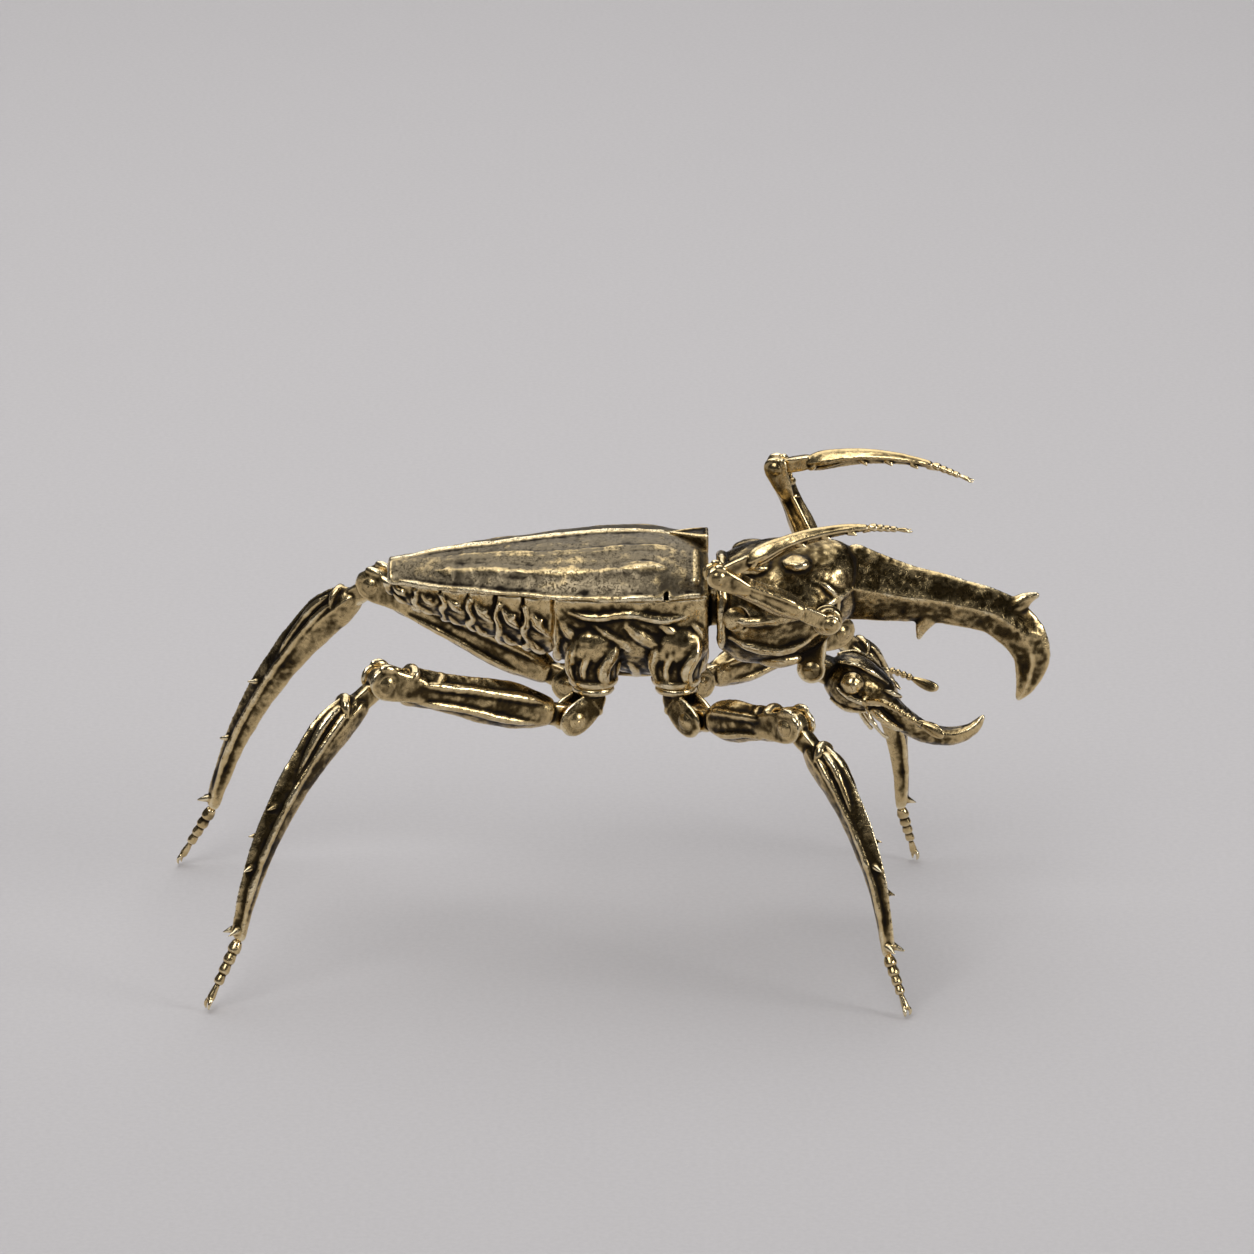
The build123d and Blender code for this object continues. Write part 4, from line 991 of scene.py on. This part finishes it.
class BEETLE_OT_head(bpy.types.Operator):
    """Models the head with its lower horn, eyes, jaws and feelers."""

    bl_idname = "beetle.head"
    bl_label = "Head and feelers"

    def execute(self, context):
        sizes = context.scene.beetle_sizes
        skull = (
            (2.1, 1.7, 1.4), (2.6, 2.4, 2.2), (3.96, 4.05, 3.2), (5.2, 4.25, 3.4), (6.6, 4.15, 3.3),
            (8.8, 3.3, 2.6), (10.2, 2.4, 1.9), (11.0, 1.7, 1.3),
        )
        horn = (
            (0.0, 2.5, 2.2), (0.15, 2.1, 1.95), (0.3, 1.7, 1.6), (0.45, 1.42, 1.4),
            (0.6, 1.32, 1.3), (0.75, 1.2, 1.15), (0.86, 0.92, 0.9), (0.95, 0.55, 0.5),
            (1.0, 0.24, 0.24),
        )
        horn_line = [(8.0, 0, 0.2), (12.7, 0, -1.6), (17.7, 0, -2.0), (21.15, 0, 0.2), (22.0, 0, 2.6)]
        forms = [
            grow(skull, SKULL_SECTION),
            disc(0, 0, 1.6, -1.8, 1.8),
            grow([(0, 1.75, 1.4), (1.5, 1.78, 1.45), (3.2, 1.8, 1.6)], SQUARE),
            bent(horn_line, horn, LOWER_HORN_SECTION, crease=(1, 7, 12)),
        ]
        jaw = [(0, 0.8, 0.75), (0.4, 0.68, 0.62), (0.75, 0.48, 0.42), (0.97, 0.2, 0.2), (1, 0.12, 0.12)]
        palp = [(8.0, 2.9, -1.6), (9.4, 3.9, -2.7), (10.9, 3.8, -3.6), (11.9, 3.0, -4.0)]
        sides = [
            ball((5.0, 3.7, 0.7), (1.35, 1.35, 1.35), 28),
            ring_bead((5.0, 3.95, 0.75), 1.22, 0.22, (pi / 2, 0, 0)),
            vein([(2.6, 1.6, 2.0), (4.6, 2.6, 2.75), (7.0, 2.5, 2.6), (9.4, 1.6, 1.9)], 0.34),
            vein([(3.4, 3.7, -0.5), (5.4, 4.25, -0.9), (7.4, 3.9, -0.9), (9.6, 2.7, -0.7)], 0.36),
            vein([(3.6, 2.0, -2.6), (6.0, 2.3, -2.9), (8.4, 1.8, -2.4)], 0.4),
            vein([(9.0, 2.6, 1.2), (10.4, 2.3, 1.2), (11.6, 1.6, 1.0)], 0.4),
            bent([(8.4, 1.9, -1.5), (10.6, 2.3, -2.3), (12.6, 1.7, -2.8), (13.8, 0.6, -2.9)], jaw),
            vein(palp, 0.30, [0.9, 1.1, 0.8, 1.1]),
            vein([(7.0, 1.2, -2.3), (8.6, 1.5, -3.5), (10.0, 1.2, -4.3)], 0.26, [0.9, 1.0, 1.1]),
        ]
        piece = cast("Head_casting", placed(HEAD_PLACE, forms + both_sides(sides)), sizes.limb_grain)
        worked(piece, ((2.0, 0.26), (0.55, 0.09)), [(joint_place("head_nod"), 2.4)])
        dress(piece, "head", "head", "Dark_brass")

        scape = [(7.4, 3.9, -0.6), (8.2, 5.4, 0.2), (9.0, 6.4, 0.75), (9.7, 7.0, 0.92)]
        stem = [(9.6, 7.0, 0.9), (11.4, 8.15, 1.0), (13.2, 8.85, 0.85), (14.0, 9.0, 0.8)]
        beads = [(9.9, 7.15, 0.95), (10.6, 7.7, 1.05), (11.4, 8.15, 1.0)]
        beads += [(12.2, 8.5, 0.95), (13.0, 8.75, 0.9)]
        leaf = [(0, 0.2, 0.3), (0.6, 0.24, 0.5), (1.8, 0.27, 0.74), (2.8, 0.24, 0.62), (3.3, 0.12, 0.28)]
        for side, name in SIDES:
            forms = [
                ball((7.4, 3.8, -0.6), (0.75, 0.75, 0.75)),
                vein(scape, 0.42, [0.8, 0.9, 1.15, 0.9]),
                vein(stem, 0.30, [1, 1, 1, 1]),
            ]
            forms += [ball(bead, (0.44, 0.46, 0.46), 14) for bead in beads]
            for number, (spread, lift) in enumerate(((-0.55, 0.0), (0.1, -0.05), (0.75, -0.15))):
                start = Vector((13.4 + 0.25 * number, 8.85, 0.85))
                place = limb_matrix(start, start + Vector((3.0, spread, lift)), ACROSS)
                forms += placed(place, [grow(leaf)])
            forms = placed(HEAD_PLACE, on_side(side, forms))
            piece = cast(f"Feeler_{name}", forms, sizes.feeler_grain, 1)
            dress(piece, "head", f"antenna_{name}", "Arm_brass")
        return {"FINISHED"}


# Radius and half width of the eye, radius, root, ears and gap of the fork, length of the
# neck, half height and half width of thigh and shin, bow of the shin and size of the toes.
STANDING_GAUGE = dict(eye=1.8, eye_half=0.85, fork=2.1, ear=0.9, gap=1.9, neck=2.8)
GAUGES = {
    "hind": dict(STANDING_GAUGE, fork_root=5.0, thigh=(2.7, 2.1), shin=(2.5, 1.8), bow=3.6, toe=0.95),
    "mid": dict(STANDING_GAUGE, fork_root=4.0, thigh=(2.5, 2.0), shin=(2.4, 1.7), bow=3.4, toe=0.9),
    "fore": dict(
        eye=1.25, eye_half=0.65, fork=1.45, fork_root=2.6, ear=0.75, gap=1.5, neck=3.8,
        thigh=(1.55, 1.4), shin=(1.2, 1.1), bow=-1.3, toe=0.6,
    ),
}
THIGH_SECTION = even_section({90: 1.14, 67.5: 0.98, 22.5: 0.95, 0: 0.92, 337.5: 0.93, 315: 0.98, 270: 1.1})
SHIN_SWELL = {90: 1.22, 67.5: 0.97, 45: 0.86, 22.5: 0.92, 0: 1.06, 337.5: 0.95, 315: 0.9, 270: 1.02}
SHIN_SECTION = even_section(SHIN_SWELL)
# Share of the way from joint to joint, and the shares of the gauge's width and height.
THIGH_STATIONS = (
    (0.0, 0.60, 0.50), (0.06, 0.85, 0.70), (0.16, 0.94, 0.86), (0.3, 1.0, 1.0), (0.45, 0.96, 0.97),
    (0.6, 0.88, 0.86), (0.74, 0.84, 0.78), (0.86, 0.90, 0.80), (0.95, 0.96, 0.84),
    (1.0, 0.80, 0.66),
)
SHIN_STATIONS = (
    (0.0, 0.50, 0.56), (0.04, 0.80, 0.80), (0.10, 1.00, 0.98), (0.17, 0.97, 1.00),
    (0.28, 0.84, 0.88), (0.42, 0.76, 0.78), (0.56, 0.68, 0.70), (0.70, 0.60, 0.59),
    (0.84, 0.52, 0.48), (0.94, 0.52, 0.42), (1.0, 0.46, 0.34),
)


def far_end(node, start, depth=0.4):
    """The middle of the node's end that is furthest from start, in millimetres. The end
    reaches in by the depth."""
    points = [vertex.co / MM for vertex in frame["nodes"][node].data.vertices]
    reach = max((point - start).length for point in points)
    end = [point for point in points if (point - start).length > reach - depth]
    return sum(end, Vector()) / len(end)


def fork(length, gauge):
    """Two ears around the slot at a limb's end."""
    forms = []
    size = gauge["fork"]
    root = length - gauge["fork_root"]
    half = gauge["ear"] / 2
    for way in (-1, 1):
        middle = way * (gauge["gap"] / 2 + half)
        forms.append(disc(length, 0, size * 0.72, middle - half, middle + half, half * 0.7))
        rings = [
            (root - 2.2, half * 0.5, size * 0.42, 0, middle * 0.82),
            (root - 0.6, half * 0.86, size * 0.72, 0, middle * 0.95),
            (length - size * 1.1, half, size * 0.88, 0, middle),
            (length - size * 0.2, half * 1.04, size * 1.02, 0, middle),
            (length + size * 0.5, half, size * 0.9, 0, middle),
            (length + size * 0.88, half * 0.8, size * 0.52, 0, middle),
            (length + size, half * 0.5, size * 0.26, 0, middle),
        ]
        forms.append(grow(rings, SOFT))
    return forms


class Shaft:
    """A limb between its joints. Its middle line gives x and lift for a share of the way."""

    def __init__(self, middle, stations, half_sizes):
        self.middle = middle
        self.stations = stations
        self.height, self.width = half_sizes

    def form(self, section, crease):
        rings = []
        for share, wide, high in self.stations:
            x, lift = self.middle(share)
            rings.append((x, self.width * wide, self.height * high, lift))
        return grow(rings, section, crease)

    def point(self, share, angle, proud):
        """A point on its skin, at an angle up from its side."""
        x, lift = self.middle(share)
        wide = self.width * between(self.stations, share, 1) + proud
        high = self.height * between(self.stations, share, 2) + proud
        return on_oval(x, angle, wide, high, 0, lift)

    def folds(self, *table):
        return folds_on(self.point, table, self.width)


def thigh_forms(length, gauge):
    """A swollen shaft with a sharp ridge above and below, folds and a forked end."""
    start = gauge["neck"] - 0.3
    run = length - gauge["fork"] - 0.45 - start
    shaft = Shaft(lambda share: (start + run * share, 0.0), THIGH_STATIONS, gauge["thigh"])
    above = [(0.02, 50, -0.4), (0.2, 40, -0.3), (0.5, 34, -0.3), (0.78, 30, -0.28), (0.99, 18, -0.3)]
    below = [(0.04, -46, -0.4), (0.25, -40, -0.3), (0.55, -36, -0.28), (0.8, -46, -0.28), (0.99, -58, -0.3)]
    sides = shaft.folds((0.30, *above), (0.28, *below))
    half, eye, neck = gauge["eye_half"], gauge["eye"], gauge["neck"]
    root = [
        (0.3, half * 0.96, eye * 0.8),
        (neck * 0.5, half * 0.96, eye * 0.76),
        (neck + 1.2, half * 1.1, eye * 0.78),
    ]
    forms = [shaft.form(THIGH_SECTION, (4, 12)), disc(0, 0, eye, -half, half), grow(root, SQUARE)]
    forms += shaft.folds(
        (0.34, (0.98, 30, -0.2), (0.955, 55, -0.2), (0.95, 90, -0.15), (0.955, 125, -0.2), (0.98, 150, -0.2)),
        (0.30, (0.84, 20, -0.3), (0.78, 55, -0.3), (0.76, 90, -0.25), (0.78, 125, -0.3), (0.84, 160, -0.3)),
    )
    size, ear = gauge["fork"], gauge["ear"] / 2
    boss = (length + size * 0.1, gauge["gap"] / 2 + ear, size * 0.8)
    sides.append(ball(boss, (size * 0.6, ear * 1.05, size * 0.36)))
    return forms + both_sides(sides) + fork(length, gauge)


def on_arc(length, gauge, share):
    """A point on a shin's bowed middle line, by share of its chord."""
    start, half, end = gauge["neck"], length / 2, length
    x = start + (end - start) * share
    low = (x - half) * (x - end) / ((start - half) * (start - end)) * gauge["bow"] * 0.35
    middle = (x - start) * (x - end) / ((half - start) * (half - end)) * gauge["bow"]
    return x, low + middle


def shin_forms(length, gauge, spines):
    """A bowed blade with a sharp outer ridge, folds along its sides and a few spines."""
    height, width = gauge["shin"]
    shaft = Shaft(lambda share: on_arc(length, gauge, share), SHIN_STATIONS, gauge["shin"])
    side = [(0.02, 30, -0.3), (0.12, 20, -0.25), (0.3, 8, -0.2)]
    side += [(0.55, 4, -0.2), (0.8, 4, -0.16), (0.97, 2, -0.2)]
    above = [(0.03, 64, -0.3), (0.12, 60, -0.22), (0.24, 46, -0.28), (0.38, 26, -0.4)]
    sides = shaft.folds((0.28, *side), (0.30, *above))
    half, eye = gauge["eye_half"], gauge["eye"]
    reach, lift = on_arc(length, gauge, 0.06)
    neck = [
        (0.3, half * 0.96, eye * 0.8),
        (reach * 0.55, half * 0.96, eye * 0.72, lift * 0.5),
        (reach, half, eye * 0.76, lift),
    ]
    forms = [shaft.form(SHIN_SECTION, (0, 4, 8)), disc(0, 0, eye, -half, half), grow(neck, SQUARE)]
    forms += shaft.folds(
        (0.36, (0.09, 10, -0.2), (0.05, 50, -0.15), (0.03, 90, -0.18), (0.05, 130, -0.2), (0.09, 170, -0.2))
    )
    for share, way, long in spines:
        x, lift = on_arc(length, gauge, share)
        top = lift + height * (0.9 - 0.5 * share)
        base = (x - 0.3, way * width * 0.22, lift + height * (0.45 - 0.25 * share))
        tip = (x + long * 0.75, way * (width * 0.28 + 0.35 * long), top + long * 0.5)
        forms.append(spine(base, tip, 0.5))
    return forms + both_sides(sides)


def toe_forms(length, gauge, spread):
    """Four beads that widen toward their tips, a slim last joint and two hooked claws."""
    size = gauge["toe"]
    forms = []
    beads = 4
    bead = length * 0.6 / beads
    profile = [(-0.25 / bead, 0.6, 0.6), (0.15, 0.76, 0.74), (0.62, 0.98, 0.92)]
    profile += [(0.92, 0.96, 0.84), (1.02, 0.64, 0.6)]
    for number in range(beads):
        thick = size * (1 - 0.08 * number)
        rings = [(bead * (number + at), thick * wide, thick * high) for at, wide, high in profile]
        forms.append(grow(rings))
    last = ((0.57, 0.34, 0.34), (0.68, 0.42, 0.42), (0.78, 0.52, 0.55), (0.85, 0.62, 0.5))
    forms.append(grow([(length * at, size * wide, size * high) for at, wide, high in last]))
    start = length * 0.80
    claw = [
        (start, 0.2 * size, 0),
        (start + length * 0.07, spread * size, size * 0.1),
        (start + length * 0.12, spread * size, 0),
        (start + length * 0.155, spread * size * 0.7, -size * 0.3),
    ]
    taper = ((0, 0.34), (0.3, 0.32), (0.6, 0.24), (0.85, 0.16), (1, 0.08))
    return forms + both_sides([bent(claw, [(share, size * wide, size * wide) for share, wide in taper])])


def hip_forms(root, gauge):
    """A block under the socket and the fork that holds the thigh's eye at the origin."""
    reach = root.length
    half = gauge["gap"] / 2 + gauge["ear"]
    rings = [(-0.4, 1.3, 1.2), (0.3, half * 0.86, 1.5)]
    rings += [(reach - 3.2, half * 0.98, 1.9), (reach - 2.35, half, 2.0)]
    forms = [grow(rings, SQUARE)] + fork(reach, dict(gauge, fork_root=reach - 1.0))
    return placed(limb_matrix(root, Vector((0, 0, 0)), ACROSS), forms)


class BEETLE_OT_legs(bpy.types.Operator):
    """Models the hips, thighs, shins and feet of all six legs."""

    bl_idname = "beetle.legs"
    bl_label = "Legs"

    def execute(self, context):
        sizes = context.scene.beetle_sizes
        for leg in STANDING + RAISED:
            standing = leg in STANDING
            gauge = GAUGES[leg.split("_")[0]]
            grain = sizes.limb_grain if standing else sizes.fine_grain
            first, second = ("lift", "knee") if standing else ("shoulder", "elbow")
            hip, knee = joint_place(f"{leg}_{first}"), joint_place(f"{leg}_{second}")
            across = Vector(JOINTS[f"{leg}_{first}"]["axis"])
            thigh_place = limb_matrix(hip, knee, across)
            ankle = far_end(f"{leg}_tibia", knee)
            toe = Vector(MOUNTS[f"{leg}_foot"]["pos_m"]) / MM if standing else far_end(f"{leg}_tarsus", ankle)
            depth = sizes.wax_depth * (1.0 if standing else 0.5)
            marks = ((3.2, depth), (1.7, depth * 0.35), (0.5, sizes.chase_depth * 0.25))
            material = "Limb_brass" if standing else "Arm_brass"

            if standing:
                swing = joint_place(f"{leg}_swing")
                root = thigh_place.inverted() @ Vector((swing.x, swing.y, SOCKET_FACE - 1.6))
                collar = Vector((swing.x, swing.y, SOCKET_FACE - 1.0))
                forms = placed(thigh_place, hip_forms(root, gauge))
                rim = drum(collar + Vector((0, 0, 0.4)), 2.6, 2.45, 0.5)
                forms += [drum(collar, 2.3, 2.6, 0.45), rim, drum(collar, 1.3, 1.3, 3.9)]
                piece = cast(f"{leg}_hip", forms, grain)
                worked(piece, marks, [(hip, 2.83, across), (collar, 2.7)])
                dress(piece, f"{leg}_coxa", f"{leg}_coxa", "Dark_brass")

            forms = placed(thigh_place, thigh_forms((knee - hip).length, gauge))
            piece = cast(f"{leg}_thigh", forms, grain)
            still = [(hip, gauge["eye"] * STILL_REACH), (knee, gauge["fork"] * STILL_REACH, across)]
            worked(piece, marks, still)
            dress(piece, f"{leg}_femur", f"{leg}_femur", material)

            spines = [(0.5, 1, 1.0), (0.62, -1, 1.0), (0.74, 1, 0.9), (0.97, 1, 1.2), (0.97, -1, 1.1)]
            if not standing:
                spines = [(0.45, 1, 0.7), (0.65, 1, 0.7), (0.85, 1, 0.7), (0.97, -1, 0.8)]
            forms = placed(limb_matrix(knee, ankle, across), shin_forms((ankle - knee).length, gauge, spines))
            piece = cast(f"{leg}_shin", forms, grain)
            worked(piece, marks, [(knee, gauge["eye"] * STILL_REACH)])
            dress(piece, f"{leg}_tibia", f"{leg}_tibia", material)

            forms = toe_forms((toe - ankle).length, gauge, 0.55 if standing else 0.75)
            piece = cast(f"{leg}_claws", placed(limb_matrix(ankle, toe, across), forms), sizes.fine_grain, 1)
            worked(piece, ((1.5, depth * 0.3),))
            dress(piece, f"{leg}_tibia", f"{leg}_tarsus", material)
        for name, node in frame["nodes"].items():
            if name.endswith("_pin"):
                node.data.materials.clear()
                node.data.materials.append(brass("Rivet_brass"))
        return {"FINISHED"}


# Name, place, aim, width and power of each lamp, in metres and watts.
LAMPS = (
    ("Top_box", (-0.10, 0.28, 0.60), (-0.10, 0.28, 0), 0.9, 4.0),
    ("Back_box", (0.10, 0.95, 0.55), (0.10, 0.85, 0), 0.5, 0.9),
    ("Camera_box", (-0.35, -1.0, 1.10), (0, 0, 0.04), 0.8, 8.8),
    ("Side_box", (0.80, -0.40, 0.36), (0, 0, 0.04), 0.34, 2.8),
)


class BEETLE_OT_stage(bpy.types.Operator):
    """Lays the paper, hangs the lamps and sets up the camera."""

    bl_idname = "beetle.stage"
    bl_label = "Stage"

    def execute(self, context):
        colour = context.scene.beetle_colours.paper
        paper = added(bpy.ops.mesh.primitive_plane_add, size=6.0, location=(0, 0.6, 0))
        paper.name = "Paper"
        shop = Shop("Grey_paper")
        place = shop.node("ShaderNodeTexCoord", output="Object")
        fibre = shop.noise(place, 1400.0, 4.0, 0.7)
        shade = fibre.ramp(0.3, 0.7) * 0.8 + shop.noise(place, 30.0, 2.0) * 0.2
        dark, light = ((*(part * share for part in colour), 1) for share in (0.955, 1.03))
        base = shop.blend(shade, dark, light)
        bump = shop.bump(fibre, 0.25, 0.0001)
        paper.data.materials.append(shop.finish(Base_Color=base, Roughness=0.9, Normal=bump))

        world = bpy.data.worlds.new("Studio")
        context.scene.world = world
        world.use_nodes = True
        sky = world.node_tree.nodes["Background"]
        sky.inputs["Color"].default_value = (0.98, 0.97, 1.0, 1)
        sky.inputs["Strength"].default_value = 0.06
        for name, place, aim, size, power in LAMPS:
            lamp = bpy.data.lights.new(name, "AREA")
            lamp.shape = "SQUARE"
            lamp.size = size
            lamp.energy = power
            self.hang(context, name, lamp, Vector(place), Vector(aim))

        lens = 250.0
        frame_width = 0.1524
        target = Vector((0.0028, 0.0, 0.0399))
        tilt = radians(17.0)
        eye = bpy.data.cameras.new("Camera")
        eye.lens = lens
        eye.clip_start = 0.01
        distance = frame_width * lens / eye.sensor_width
        place = target + Vector((0, -cos(tilt), sin(tilt))) * distance
        context.scene.camera = self.hang(context, "Camera", eye, place, target)
        context.scene.view_settings.view_transform = "Standard"
        return {"FINISHED"}

    def hang(self, context, name, data, place, aim):
        """A lamp or camera at its place, turned to its aim."""
        holder = bpy.data.objects.new(name, data)
        context.scene.collection.objects.link(holder)
        holder.location = place
        holder.rotation_euler = (aim - place).to_track_quat("-Z", "Y").to_euler()
        return holder


class BEETLE_PT_panel(bpy.types.Panel):
    """Lists the beetle's sizes, colours and steps."""

    bl_label = "Beetle"
    bl_idname = "BEETLE_PT_panel"
    bl_space_type = "VIEW_3D"
    bl_region_type = "UI"
    bl_category = "Beetle"

    def draw(self, context):
        for group in (context.scene.beetle_sizes, context.scene.beetle_colours):
            for name in group.__annotations__:
                self.layout.prop(group, name)
        for step in STEPS:
            self.layout.operator(step.bl_idname)


STEPS = (
    BEETLE_OT_wing_cases,
    BEETLE_OT_belly,
    BEETLE_OT_shield,
    BEETLE_OT_head,
    BEETLE_OT_legs,
    BEETLE_OT_stage,
)
CLASSES = (BeetleSizes, BeetleColours, *STEPS, BEETLE_PT_panel)


def register():
    for entry in CLASSES:
        bpy.utils.register_class(entry)
    bpy.types.Scene.beetle_sizes = bpy.props.PointerProperty(type=BeetleSizes)
    bpy.types.Scene.beetle_colours = bpy.props.PointerProperty(type=BeetleColours)


def unregister():
    del bpy.types.Scene.beetle_colours
    del bpy.types.Scene.beetle_sizes
    for entry in reversed(CLASSES):
        bpy.utils.unregister_class(entry)


def main():
    register()
    bpy.ops.beetle.wing_cases()
    bpy.ops.beetle.belly()
    bpy.ops.beetle.shield()
    bpy.ops.beetle.head()
    bpy.ops.beetle.legs()
    bpy.ops.beetle.stage()


if __name__ == "__main__":
    main()
